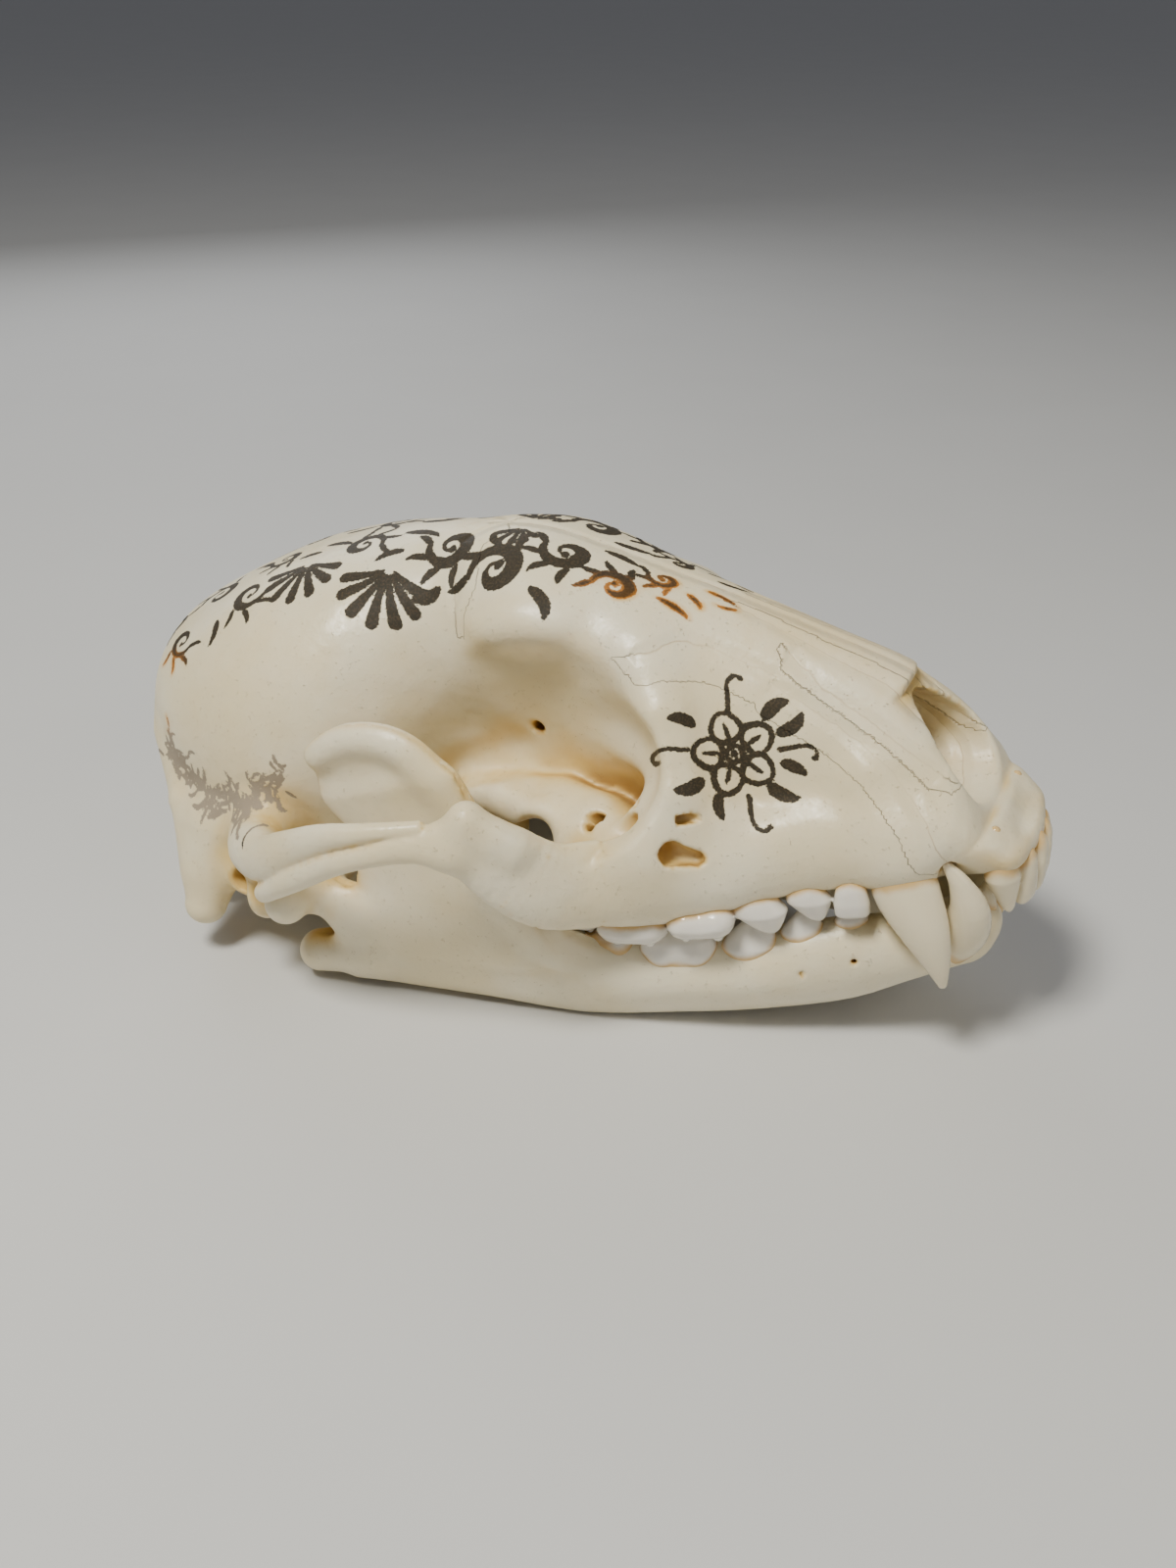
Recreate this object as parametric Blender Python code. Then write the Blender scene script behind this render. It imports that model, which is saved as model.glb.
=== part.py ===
"""Raccoon skull with its lower jaw, life size, in bone. +X is the snout, +Y the animal's left, +Z up.

Each bone is a field, a distance in millimetres that is negative inside: forms with named sizes, blended as
bone is and hollowed where the skull is open. The field's surface becomes a mesh, is thinned to few faces, and
is joined with its teeth. The forms are set in the skull's own frame: x = 0 is the front of the incisor
sockets, y = 0 the midline and z = 0 the gum line of the upper teeth. Only the right side (y < 0) is
described, and the left side mirrors it.
"""

import math

import bmesh
import bpy
import numpy as np
from mathutils import Matrix

MM = 0.001
NOSE_UP = math.radians(8.8)   # how far the skull tips back when it lies on its jaw
GAP = 0.45                    # between two bones
BITE_GAP = 0.8                # between upper and lower teeth, which have few faces
BONE_STEP = 0.95              # spacing of the grid that finds a bone's surface
JUGAL_STEP = 0.7
TOOTH_STEP = 0.5
TOOTH_FACES = 88
BIG_TOOTH_FACES = 130
BIG_TOOTH = 6.0               # a crown longer than this is given more faces
CRANIUM_FACES = 7600
MANDIBLE_FACES = 1900
JUGAL_FACES = 460
FAR = 12.0                    # a distance past every blend
CRANIUM_BOX = (-116.0, -40.0, -10.0), (3.0, 40.0, 43.0)
JUGAL_BOX = (-87.0, -40.0, -4.0), (-38.0, -18.0, 21.0)
MANDIBLE_BOX = (-89.0, -35.0, -20.0), (2.0, 1.5, 27.0)


def smooth_union(a, b, blend):
    """The nearer of two fields, with a fillet about as wide as blend where they meet."""
    part = np.maximum(blend - np.abs(a - b), 0.0) / blend
    return np.minimum(a, b) - part * part * blend * 0.25


def smooth_cut(body, hole, blend):
    return -smooth_union(-body, hole, blend)


def within(p, low, high, field):
    """The field near a box, and FAR elsewhere, which saves most of the work."""
    margin = 6.0
    near = np.all((p > np.subtract(low, margin)) & (p < np.add(high, margin)), axis=1)
    result = np.full(len(p), FAR, p.dtype)
    if near.any():
        result[near] = field(p[near])
    return result


def stretched(local, radii):
    """Near-distance to an ellipsoid with these radii, from coordinates along its own axes."""
    once = np.linalg.norm(local / radii, axis=1)
    twice = np.linalg.norm(local / np.square(radii), axis=1)
    return once * (once - 1.0) / np.maximum(twice, 1e-6)


def ellipsoid(p, centre, radii, tilt=0.0):
    """An ellipsoid, tipped nose up by tilt degrees."""
    centre = np.asarray(centre, p.dtype)
    reach = max(radii)

    def field(q):
        local = q - centre
        if tilt:
            c, s = math.cos(math.radians(tilt)), math.sin(math.radians(tilt))
            local = np.stack(
                [local[:, 0] * c + local[:, 2] * s, local[:, 1], local[:, 2] * c - local[:, 0] * s], axis=1
            )
        return stretched(local, np.asarray(radii, p.dtype))

    return within(p, centre - reach, centre + reach, field)


def bar(p, *points):
    """A round bar through points (x, y, z, radius)."""
    result = None
    for start, end in zip(points, points[1:]):
        a, b = np.array(start[:3], p.dtype), np.array(end[:3], p.dtype)

        def field(q, a=a, b=b, start=start, end=end):
            t = np.clip((q - a) @ (b - a) / max((b - a) @ (b - a), 1e-9), 0.0, 1.0)
            return np.linalg.norm(q - a - t[:, None] * (b - a), axis=1) - (start[3] + (end[3] - start[3]) * t)

        thick = max(start[3], end[3])
        found = within(p, np.minimum(a, b) - thick, np.maximum(a, b) + thick, field)
        result = found if result is None else smooth_union(result, found, 0.8)
    return result


def through(points, steps=3):
    """Rows of numbers on a smooth curve through the given rows."""
    rows = np.asarray(points, float)
    padded = np.vstack([2 * rows[0] - rows[1], rows, 2 * rows[-1] - rows[-2]])
    t = np.arange(steps)[:, None] / steps
    spans = [
        0.5 * (2 * b + (c - a) * t + (2 * a - 5 * b + 4 * c - d) * t**2 + (3 * b - a - 3 * c + d) * t**3)
        for a, b, c, d in zip(padded, padded[1:], padded[2:], padded[3:])
    ]
    return np.vstack([*spans, rows[-1:]])


def strip(p, points, up=(0, 0, 1)):
    """A flat bar, oval in section, on a curve through points (x, y, z, half height, half thickness)."""
    rows = through(points, 4)
    thick = rows[:, 3:].max()
    up = np.asarray(up, p.dtype)

    def field(q):
        best = np.full(len(q), np.inf, q.dtype)
        result = np.empty(len(q), q.dtype)
        for start, end in zip(rows, rows[1:]):
            a, b = start[:3].astype(q.dtype), end[:3].astype(q.dtype)
            along = (b - a) / np.linalg.norm(b - a)
            side = np.cross(along, up)
            side /= np.linalg.norm(side)
            t = np.clip((q - a) @ (b - a) / ((b - a) @ (b - a)), 0.0, 1.0)
            offset = q - a - t[:, None] * (b - a)
            away = np.einsum("ij,ij->i", offset, offset)
            nearer = away < best
            local = offset[nearer] @ np.stack([along, side, np.cross(side, along)], axis=1)
            half = (start[3:] + (end[3:] - start[3:]) * t[nearer, None]).astype(q.dtype)
            radii = np.stack([half.min(axis=1), half[:, 1], half[:, 0]], axis=1)
            result[nearer] = stretched(local, radii)
            best[nearer] = away[nearer]
        return result

    return within(p, rows[:, :3].min(axis=0) - thick, rows[:, :3].max(axis=0) + thick, field)


def loft(p, stations, end_blend=2.0):
    """A body along x from stations (x, middle z, half height, half width, squareness, taper upwards)."""
    rows = through(sorted(stations), 12)
    x = np.clip(p[:, 0], rows[0, 0], rows[-1, 0])
    columns = [np.interp(x, rows[:, 0], column).astype(p.dtype) for column in rows.T[1:]]
    middle, high, wide, square, taper = columns
    rise = (p[:, 2] - middle) / high
    wide = wide * (1.0 - taper * np.clip(rise, -1.0, 1.0))
    reach = (np.abs(p[:, 1] / wide) ** square + np.abs(rise) ** square) ** (1.0 / square)
    past = np.maximum(rows[0, 0] - p[:, 0], p[:, 0] - rows[-1, 0])
    return -smooth_union(-(reach - 1.0) * np.minimum(wide, high), -past.astype(p.dtype), end_blend)


VAULT = (  # braincase, forehead and snout: x, middle z, half height, half width, squareness, taper
    (-109.6, 19.0, 7.5, 11.0, 2.2, 0.0),
    (-106.8, 18.5, 12.0, 16.6, 2.2, 0.0),
    (-100.0, 17.3, 16.4, 21.2, 2.3, 0.02),
    (-90.0, 17.8, 19.3, 23.8, 2.3, 0.03),
    (-80.0, 20.0, 19.0, 22.0, 2.2, 0.03),
    (-73.0, 23.5, 16.2, 17.2, 2.2, 0.05),
    (-66.0, 27.2, 12.7, 12.4, 2.2, 0.0),
    (-60.0, 28.3, 11.8, 12.6, 2.3, 0.0),
    (-54.0, 27.8, 11.4, 13.8, 2.4, -0.05),
    (-47.0, 25.6, 11.2, 13.2, 2.4, 0.0),
    (-40.0, 22.0, 12.0, 12.4, 2.4, 0.15),
    (-32.0, 17.8, 13.0, 12.2, 2.4, 0.26),
    (-22.0, 13.6, 12.9, 11.6, 2.4, 0.28),
    (-13.0, 10.8, 11.6, 10.8, 2.4, 0.25),
    (-6.0, 8.0, 9.5, 9.8, 2.2, 0.15),
    (-1.2, 3.2, 2.6, 7.3, 2.0, 0.0),
    (1.8, 2.9, 1.8, 4.9, 2.0, 0.0),
)
KEEL = (  # the floor of the skull, between the eyes and under the brain
    (-108.0, 5.0, 5.0, 10.0, 2.5, 0.0),
    (-98.0, 5.5, 7.0, 12.5, 2.5, 0.0),
    (-88.0, 7.0, 8.6, 14.0, 2.4, 0.0),
    (-78.0, 9.5, 9.8, 11.0, 2.3, 0.0),
    (-68.0, 12.5, 11.0, 8.2, 2.3, 0.0),
    (-58.0, 13.2, 10.4, 7.6, 2.4, 0.0),
    (-48.0, 13.0, 11.0, 8.2, 2.5, 0.0),
    (-40.0, 12.5, 10.6, 10.5, 2.5, 0.0),
    (-33.0, 11.0, 9.0, 11.0, 2.5, 0.0),
)
AIRWAY = (  # the nose, open in front
    (-31.0, 18.0, 6.5, 5.0, 2.0, 0.0),
    (-20.0, 15.0, 7.0, 6.4, 2.0, 0.2),
    (-12.0, 13.2, 6.1, 6.8, 2.1, 0.22),
    (-9.0, 13.0, 6.0, 6.8, 2.1, 0.2),
    (6.0, 13.0, 6.0, 6.9, 2.1, 0.1),
)
NOSE_RIM = (  # z and x of the edge of the nose opening, from its floor up to the tip of the nasal bones
    (6.5, -3.3),
    (8.6, -4.1),
    (11.2, -5.2),
    (14.0, -7.1),
    (16.8, -9.3),
    (19.0, -11.5),
    (20.4, -12.6),
    (21.3, -11.8),
    (22.3, -9.8),
)


def folded(p):
    """The same points on the right side of the midline."""
    q = p.copy()
    q[:, 1] = -np.abs(q[:, 1])
    return q


def jugal(p):
    """The cheek bone: from the upper jaw back under the eye, to a thin end below the temple's prong."""
    arch = strip(p, (
        (-44.5, -23.3, 4.6, 5.2, 2.0),
        (-48.0, -26.8, 6.0, 5.0, 1.9),
        (-51.5, -29.6, 9.6, 4.5, 1.7),
        (-55.5, -31.8, 12.9, 2.9, 1.6),
        (-60.5, -33.6, 13.9, 1.9, 1.5),
        (-66.0, -34.8, 13.1, 1.45, 1.4),
        (-71.0, -35.2, 11.7, 1.5, 1.4),
        (-77.0, -34.6, 8.9, 1.5, 1.4),
        (-83.0, -32.6, 5.4, 1.1, 1.2),
    ))
    process = bar(p, (-56.4, -31.9, 13.2, 2.0), (-54.3, -31.5, 16.5, 1.7), (-50.6, -29.6, 12.4, 1.5))
    return smooth_union(arch, process, 2.5)


def temple_prong(p):
    """The part of the braincase that reaches forward over the jugal."""
    return strip(p, (
        (-90.0, -21.5, 8.0, 4.2, 4.0),
        (-87.0, -27.5, 8.2, 3.6, 3.4),
        (-82.0, -32.2, 9.8, 2.9, 2.2),
        (-77.0, -34.6, 12.6, 2.3, 1.5),
        (-71.0, -35.4, 15.0, 1.7, 1.3),
        (-65.0, -34.9, 15.9, 1.1, 1.1),
        (-59.5, -33.4, 16.1, 0.8, 0.9),
    ))


def snout_forms(p, d):
    """Tooth ridge, canine root, cheek in front of the eye, and the root of the cheek arch."""
    ridge = strip(p, (
        (-2.8, -6.4, 3.3, 2.0, 2.5),
        (-8.0, -9.6, 6.8, 3.3, 3.3),
        (-13.0, -11.2, 5.4, 4.6, 3.5),
        (-17.0, -11.6, 5.2, 4.8, 3.2),
        (-25.0, -13.4, 4.8, 5.2, 3.4),
        (-33.0, -15.6, 3.2, 5.2, 4.6),
        (-41.0, -16.7, 1.4, 4.7, 5.1),
        (-48.5, -15.8, 0.0, 3.9, 4.6),
        (-52.0, -13.0, 0.2, 2.8, 2.8),
    ))
    d = smooth_union(d, ridge, 3.5)
    d = smooth_union(d, bar(p, (-11.8, -9.7, 4.8, 3.7), (-15.5, -8.6, 12.5, 2.6)), 4.0)
    brow = bar(p, (-41.0, -10.0, 27.0, 2.4), (-38.0, -13.6, 21.5, 3.0), (-36.6, -16.6, 13.5, 3.6),
               (-39.5, -20.0, 8.0, 3.8))
    d = smooth_union(d, brow, 6.0)
    root = strip(p, (
        (-33.0, -13.5, 7.0, 5.0, 3.6),
        (-39.0, -19.0, 5.8, 5.8, 3.2),
        (-44.0, -23.0, 4.7, 5.3, 2.6),
        (-47.5, -26.3, 6.0, 4.9, 2.0),
    ))
    return smooth_union(d, root, 4.0)


def orbit_cut(p, d):
    """The eye socket, its floor over the back teeth, and the fissures at its inner end."""
    d = smooth_cut(d, ellipsoid(p, (-53.0, -26.0, 21.0), (12.6, 16.2, 11.4)), 5.0)
    d = smooth_cut(d, ellipsoid(p, (-47.9, -25.0, 17.8), (12.7, 15.4, 9.4)), 1.4)
    swelling = bar(p, (-66.0, -9.0, 8.4, 2.4), (-60.0, -10.4, 8.6, 3.3), (-54.0, -12.0, 7.9, 4.3),
                   (-48.0, -13.4, 5.0, 5.4), (-43.0, -14.6, 2.8, 5.6))
    d = smooth_union(d, swelling, 2.5)
    hollow = bar(p, (-68.0, -12.0, 0.4, 3.4), (-60.0, -13.4, 1.6, 3.7), (-54.6, -15.8, 2.0, 3.9))
    d = smooth_cut(d, hollow, 1.5)
    groove = bar(p, (-60.5, -10.2, 13.8, 1.4), (-54.6, -12.4, 13.2, 1.6), (-50.4, -14.4, 12.8, 0.9))
    d = smooth_cut(d, groove, 4.5)
    d = smooth_cut(d, bar(p, (-51.6, -22.0, 9.4, 1.6), (-55.0, -16.0, 6.1, 2.1), (-59.6, -8.0, 1.6, 2.4)), 1.4)
    return smooth_cut(d, bar(p, (-67.0, -10.5, 11.5, 1.8), (-60.0, -9.0, 13.6, 2.0)), 2.0)


def braincase_forms(p, d):
    """Crest round the back, ear bulla and tube, mastoid, paroccipital, condyle, jaw joint and its lip."""
    d = smooth_union(d, temple_prong(p), 3.5)
    crest = bar(p, (-109.6, 1.0, 25.6, 1.7), (-109.0, -8.0, 23.4, 1.6), (-106.2, -15.4, 17.5, 1.5),
                (-102.6, -20.8, 10.5, 1.5), (-99.6, -23.8, 3.0, 1.8))
    d = smooth_union(d, crest, 3.0)
    d = smooth_union(d, ellipsoid(p, (-91.5, -12.6, -1.0), (8.6, 6.4, 6.4)), 1.6)
    d = smooth_union(d, bar(p, (-91.0, -16.0, 0.6, 3.8), (-91.5, -23.6, 2.4, 3.2)), 2.0)
    d = smooth_union(d, bar(p, (-97.0, -21.0, 7.0, 4.6), (-99.3, -25.2, -2.0, 2.7)), 3.5)
    d = smooth_union(d, bar(p, (-104.0, -14.0, 4.0, 3.2), (-104.8, -15.6, -4.6, 1.5)), 2.5)
    d = smooth_union(d, ellipsoid(p, (-108.4, -6.8, 3.2), (3.6, 3.8, 5.2), 20.0), 1.5)
    d = smooth_union(d, ellipsoid(p, (-87.6, -24.2, 2.0), (2.0, 6.2, 4.4)), 2.0)
    return smooth_cut(d, bar(p, (-91.6, -28.0, 2.8, 1.7), (-91.0, -17.0, 1.6, 1.5)), 0.6)


def palate_forms(p, d):
    """Wings beside the inner nostrils, the passage between them, and the hollow of the palate."""
    wing = strip(p, (
        (-62.0, -6.8, 3.2, 2.6, 1.2),
        (-70.0, -6.8, 2.4, 3.4, 1.0),
        (-77.0, -7.0, 1.2, 3.6, 0.9),
        (-82.0, -7.4, -1.2, 2.0, 0.8),
    ))
    d = smooth_union(d, wing, 2.0)
    d = smooth_cut(d, bar(p, (-60.0, 0.0, 6.6, 3.4), (-70.0, 0.0, 5.4, 4.6), (-80.0, 0.0, 2.6, 5.0),
                          (-88.0, 0.0, -2.6, 4.0)), 1.5)
    return smooth_cut(d, ellipsoid(p, (-27.0, 0.0, -3.2), (27.0, 9.4, 5.0), 0.0), 2.0)


def openings(p, d):
    """Nose, the canal below the eye, and the hole for the spinal cord."""
    rim_z, rim_x = zip(*NOSE_RIM)
    behind = 0.87 * (np.interp(p[:, 2], rim_z, rim_x).astype(p.dtype) - p[:, 0])
    d = smooth_cut(d, np.maximum(behind, rim_z[0] - p[:, 2]), 1.6)
    d = smooth_cut(d, loft(p, AIRWAY), 0.8)
    canal = bar(p, (-33.0, -19.6, 6.9, 0.8), (-35.8, -20.9, 8.2, 1.4), (-40.0, -19.0, 9.2, 1.8),
                (-46.0, -19.4, 10.9, 2.1))
    d = smooth_cut(d, canal, 0.8)
    return smooth_cut(d, bar(p, (-118.0, 0.0, 8.2, 5.6), (-98.0, 0.0, 12.0, 7.0)), 1.2)


def cranium(p):
    """All of the upper skull but its teeth and the two cheek bones."""
    q = folded(p)
    d = smooth_union(loft(q, VAULT), loft(q, KEEL), 5.0)
    d = smooth_union(d, ellipsoid(q, (-54.5, -12.0, 30.6), (4.4, 2.4, 2.0)), 5.0)
    d = snout_forms(q, d)
    d = orbit_cut(q, d)
    d = braincase_forms(q, d)
    d = palate_forms(q, d)
    d = openings(q, d)
    d = smooth_cut(d, jugal(q) - GAP, 0.3)
    d = smooth_cut(d, lower_canine(q) - BITE_GAP, 0.8)
    return smooth_cut(d, condyle(q) - GAP, 0.5)


def condyle(p):
    return bar(p, (-82.6, -18.0, 1.4, 2.6), (-82.6, -30.0, 2.4, 2.6))


CORONOID_RIM = (  # thickened front and top edge of the blade that rises behind the eye: x, y, z, radius
    (-47.5, -18.6, -10.0, 2.4),
    (-51.6, -21.2, -5.4, 2.2),
    (-54.0, -22.4, -0.8, 1.9),
    (-56.8, -23.6, 4.6, 1.6),
    (-58.6, -25.0, 13.0, 1.3),
    (-61.6, -25.9, 19.2, 1.3),
    (-65.5, -26.3, 22.6, 1.2),
    (-71.0, -26.5, 23.0, 1.2),
    (-75.8, -26.4, 20.8, 1.1),
)


def mandible(p):
    """The right half of the lower jaw, without its teeth."""
    d = strip(p, (
        (-5.4, -2.6, -7.6, 2.0, 2.3),
        (-9.0, -5.2, -8.5, 2.9, 3.2),
        (-13.2, -7.2, -10.1, 3.8, 3.3),
        (-20.0, -9.6, -11.6, 4.7, 3.3),
        (-30.0, -12.2, -12.3, 5.0, 3.4),
        (-40.0, -14.8, -12.2, 5.2, 3.4),
        (-50.0, -18.0, -11.3, 5.4, 2.9),
        (-60.0, -21.0, -8.2, 5.9, 2.3),
        (-70.0, -23.0, -6.2, 6.2, 1.9),
        (-78.0, -24.3, -5.4, 5.8, 1.7),
    ))
    d = smooth_union(d, bar(p, (-6.2, -2.6, -8.2, 2.1), (-15.0, -3.2, -12.2, 2.8)), 3.0)
    ridge = strip(p, (
        (-6.6, -5.6, -9.0, 2.6, 2.8),
        (-12.0, -8.6, -8.6, 2.7, 2.2),
        (-19.0, -10.7, -8.2, 2.9, 2.2),
        (-26.0, -12.4, -9.8, 2.8, 2.5),
        (-32.0, -14.0, -10.9, 2.6, 2.8),
        (-40.0, -15.9, -10.8, 2.5, 2.9),
        (-50.0, -17.9, -10.8, 2.4, 2.6),
    ))
    d = smooth_union(d, ridge, 4.0)
    blade = strip(p, (
        (-66.5, -22.8, -6.0, 12.5, 1.8),
        (-65.4, -24.2, 3.0, 10.2, 1.3),
        (-65.4, -25.3, 11.0, 8.9, 1.1),
        (-66.6, -26.0, 17.0, 8.4, 1.0),
    ), up=(1, 0, 0))
    d = smooth_union(d, blade, 2.5)
    d = smooth_union(d, ellipsoid(p, (-68.0, -26.1, 17.4), (8.7, 1.1, 6.6)), 2.0)
    rim = through(CORONOID_RIM, 4)
    d = smooth_union(d, bar(p, *rim), 2.4)
    d = smooth_union(d, condyle(p), 1.0)
    d = smooth_union(d, bar(p, (-76.5, -24.0, -3.0, 2.8), (-81.6, -24.4, 1.2, 2.4)), 2.5)
    d = smooth_union(d, bar(p, (-75.5, -23.4, -7.4, 3.2), (-83.6, -24.4, -7.8, 2.7)), 1.5)
    d = smooth_cut(d, bar(p, (-89.0, -24.4, -2.9, 1.9), (-80.2, -24.2, -4.0, 0.8)), 0.8)
    d = smooth_cut(d, uppers(p) - BITE_GAP, 0.8)
    return np.maximum(d, p[:, 1] + GAP / 2)


UPPER_CANINE = (  # root to tip: x, y, z, half length along the jaw, half thickness
    (-15.0, -9.2, 9.0, 2.2, 1.8),
    (-12.6, -11.0, 4.4, 3.3, 2.5),
    (-11.5, -12.0, 0.6, 3.8, 2.7),
    (-9.6, -12.7, -3.8, 3.0, 2.3),
    (-8.4, -12.8, -7.8, 1.8, 1.5),
    (-7.8, -12.6, -11.2, 0.6, 0.6),
)
LOWER_CANINE = (
    (-10.4, -6.8, -10.9, 1.8, 1.5),
    (-8.6, -7.4, -9.8, 2.6, 2.0),
    (-6.0, -8.8, -6.4, 2.8, 2.2),
    (-4.9, -10.2, -2.6, 2.3, 1.9),
    (-5.6, -11.1, 1.2, 1.3, 1.1),
    (-7.0, -11.4, 3.8, 0.5, 0.5),
)
UPPER_TEETH = (  # kind, x, y, z of the neck, length along the row, width, crown's height, turn of the row
    ("blade", 1.1, -1.6, 1.7, 2.9, 2.6, 6.0, 84.0),
    ("blade", 0.3, -4.7, 1.4, 3.1, 2.8, 5.8, 68.0),
    ("point", -1.8, -7.6, 1.9, 4.2, 3.6, 6.5, 46.0),
    ("peg", -17.4, -13.3, 0.6, 4.1, 3.0, 3.6, 14.0),
    ("point", -22.5, -13.9, 0.2, 5.2, 3.6, 4.0, 14.0),
    ("point", -28.0, -15.6, -0.8, 6.4, 4.6, 4.2, 16.0),
    ("broad", -34.4, -17.0, -1.4, 8.2, 7.8, 3.2, 14.0),
    ("broad", -42.4, -17.7, -2.3, 8.8, 8.6, 3.2, 4.0),
    ("broad", -49.4, -16.0, -2.8, 5.6, 7.4, 2.6, -12.0),
)
LOWER_TEETH = (
    ("blade", -3.9, -1.3, -7.2, 2.0, 2.1, 4.7, 86.0),
    ("blade", -4.3, -3.4, -7.2, 2.2, 2.2, 4.8, 74.0),
    ("blade", -5.4, -5.4, -7.2, 2.3, 2.2, 4.8, 56.0),
    ("peg", -13.4, -9.4, -6.4, 2.6, 2.0, 1.8, 14.0),
    ("point", -18.6, -10.7, -5.6, 4.1, 2.5, 3.2, 14.0),
    ("point", -24.2, -12.3, -7.0, 5.2, 3.2, 4.6, 14.0),
    ("point", -30.3, -14.0, -8.4, 6.9, 4.8, 5.2, 14.0),
    ("broad", -38.2, -15.8, -8.6, 9.4, 5.8, 4.6, 12.0),
    ("broad", -47.4, -17.3, -8.4, 8.4, 5.0, 3.6, 14.0),
)
NECK_DEPTH = 0.3   # how far a crown goes on into the bone, as part of its height
CROWNS = {  # outline of a crown: part of its height, and of its half length and half width there
    "blade": (
        (-0.3, 0.5, 0.7), (0.0, 0.68, 0.95), (0.3, 0.86, 1.0), (0.7, 1.0, 0.74), (0.9, 0.96, 0.46), (1.0, 0.8, 0.3),
    ),
    "peg": (
        (-0.3, 0.7, 0.7), (0.0, 0.86, 0.88), (0.4, 1.0, 1.0), (0.8, 0.98, 0.84), (1.0, 0.74, 0.5),
    ),
    "point": (
        (-0.3, 0.7, 0.7), (0.0, 0.88, 0.9), (0.22, 1.0, 1.0), (0.5, 0.74, 0.74), (0.8, 0.4, 0.44), (1.0, 0.16, 0.18),
    ),
    "broad": (
        (-0.3, 0.78, 0.78), (0.0, 0.92, 0.92), (0.3, 1.0, 1.0), (0.6, 0.92, 0.9), (0.76, 0.7, 0.66), (0.9, 0.3, 0.3),
    ),
}
TRAITS = {  # how square it is seen from its tip, how far the tip leans along the row, root's length and lean
    "blade": (2.6, 0.0, 2.3, 1.6),
    "peg": (3.2, 0.0, 3.6, 0.8),
    "point": (2.2, 0.24, 4.0, 0.8),
    "broad": (3.0, 0.0, 4.0, 0.8),
}
CUSPS = (  # of a broad tooth: along the row and across it as parts of its half sizes, height, thickness
    (0.48, 0.5, 0.98, 0.46),
    (-0.42, 0.52, 0.94, 0.48),
    (0.42, -0.46, 0.86, 0.44),
    (-0.46, -0.42, 0.78, 0.44),
)


def upper_canine(p):
    return strip(p, UPPER_CANINE, up=(1, 0, 0))


def lower_canine(p):
    return strip(p, LOWER_CANINE, up=(1, 0, 0))


def tooth(p, spec, down):
    """One tooth: a crown that follows its kind's outline, cusps on a broad one, and a root into the bone."""
    kind, x, y, neck, length, width, height, turn = spec
    square, forward, root, lean = TRAITS[kind]
    c, s = math.cos(math.radians(turn)), math.sin(math.radians(turn))
    local = p - np.array((x, y, neck), p.dtype)
    along = local[:, 0] * c + local[:, 1] * s
    across = local[:, 0] * s - local[:, 1] * c
    local = np.stack([along, across, local[:, 2] * down], axis=1)
    rise = local[:, 2] / height
    rises, lengths, widths = zip(*CROWNS[kind])
    long = 0.5 * length * np.interp(rise, rises, lengths).astype(p.dtype)
    wide = 0.5 * width * np.interp(rise, rises, widths).astype(p.dtype)
    along = along - forward * length * np.clip(rise, 0.0, 1.0)
    reach = ((np.abs(along) / long) ** square + (np.abs(across) / wide) ** square) ** (1.0 / square)
    ends = np.maximum(local[:, 2] - height, -local[:, 2] - NECK_DEPTH * height)
    d = smooth_cut((reach - 1.0) * np.minimum(long, wide), -ends, 1.0)
    r = min(length, width) / 2
    if kind == "broad":
        for fore, aside, top, thick in CUSPS:
            foot = (fore * length / 2, aside * width / 2)
            cusp = bar(local, (*foot, 0.2 * height, thick * r), (*foot, top * height - 0.16 * r, 0.16 * r))
            d = smooth_union(d, cusp, 0.8)
    return smooth_union(d, bar(local, (0, 0, 0, 0.6 * r), (0, -lean, -root, 0.35 * r)), 1.2)


def face_count(length):
    return BIG_TOOTH_FACES if length > BIG_TOOTH else TOOTH_FACES


def upper_teeth():
    """Field, box and number of faces of each upper tooth on the right side."""
    for spec in UPPER_TEETH:
        yield (lambda p, spec=spec: tooth(p, spec, -1)), tooth_box(spec, -1), face_count(spec[4])
    yield upper_canine, strip_box(UPPER_CANINE), BIG_TOOTH_FACES


def uppers(p):
    d = upper_canine(p)
    for spec in UPPER_TEETH:
        low, high = tooth_box(spec, -1)
        d = np.minimum(d, within(p, low, high, lambda q, spec=spec: tooth(q, spec, -1)))
    return d


def lower_teeth():
    """The same for the lower teeth, which keep clear of the upper ones and of the upper skull."""
    for spec in LOWER_TEETH:
        yield (lambda p, spec=spec: clear(p, tooth(p, spec, 1))), tooth_box(spec, 1), face_count(spec[4])
    yield (lambda p: clear(p, lower_canine(p))), strip_box(LOWER_CANINE), BIG_TOOTH_FACES


def clear(p, d):
    return smooth_cut(d, uppers(p) - BITE_GAP, 0.4)


def tooth_box(spec, down):
    kind, x, y, neck, length, width, height, _ = spec
    _, forward, root, lean = TRAITS[kind]
    reach = math.hypot(length, width) / 2 + 0.8 + max(lean, forward * length)
    low, high = sorted((neck - down * max(root, 0.5 * height), neck + down * height))
    return (x - reach, y - reach, low - 2.5), (x + reach, y + reach, high + 2.5)


def strip_box(points):
    rows = np.asarray(points)
    thick = rows[:, 3:].max() + 0.6
    return rows[:, :3].min(axis=0) - thick, rows[:, :3].max(axis=0) + thick


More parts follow.
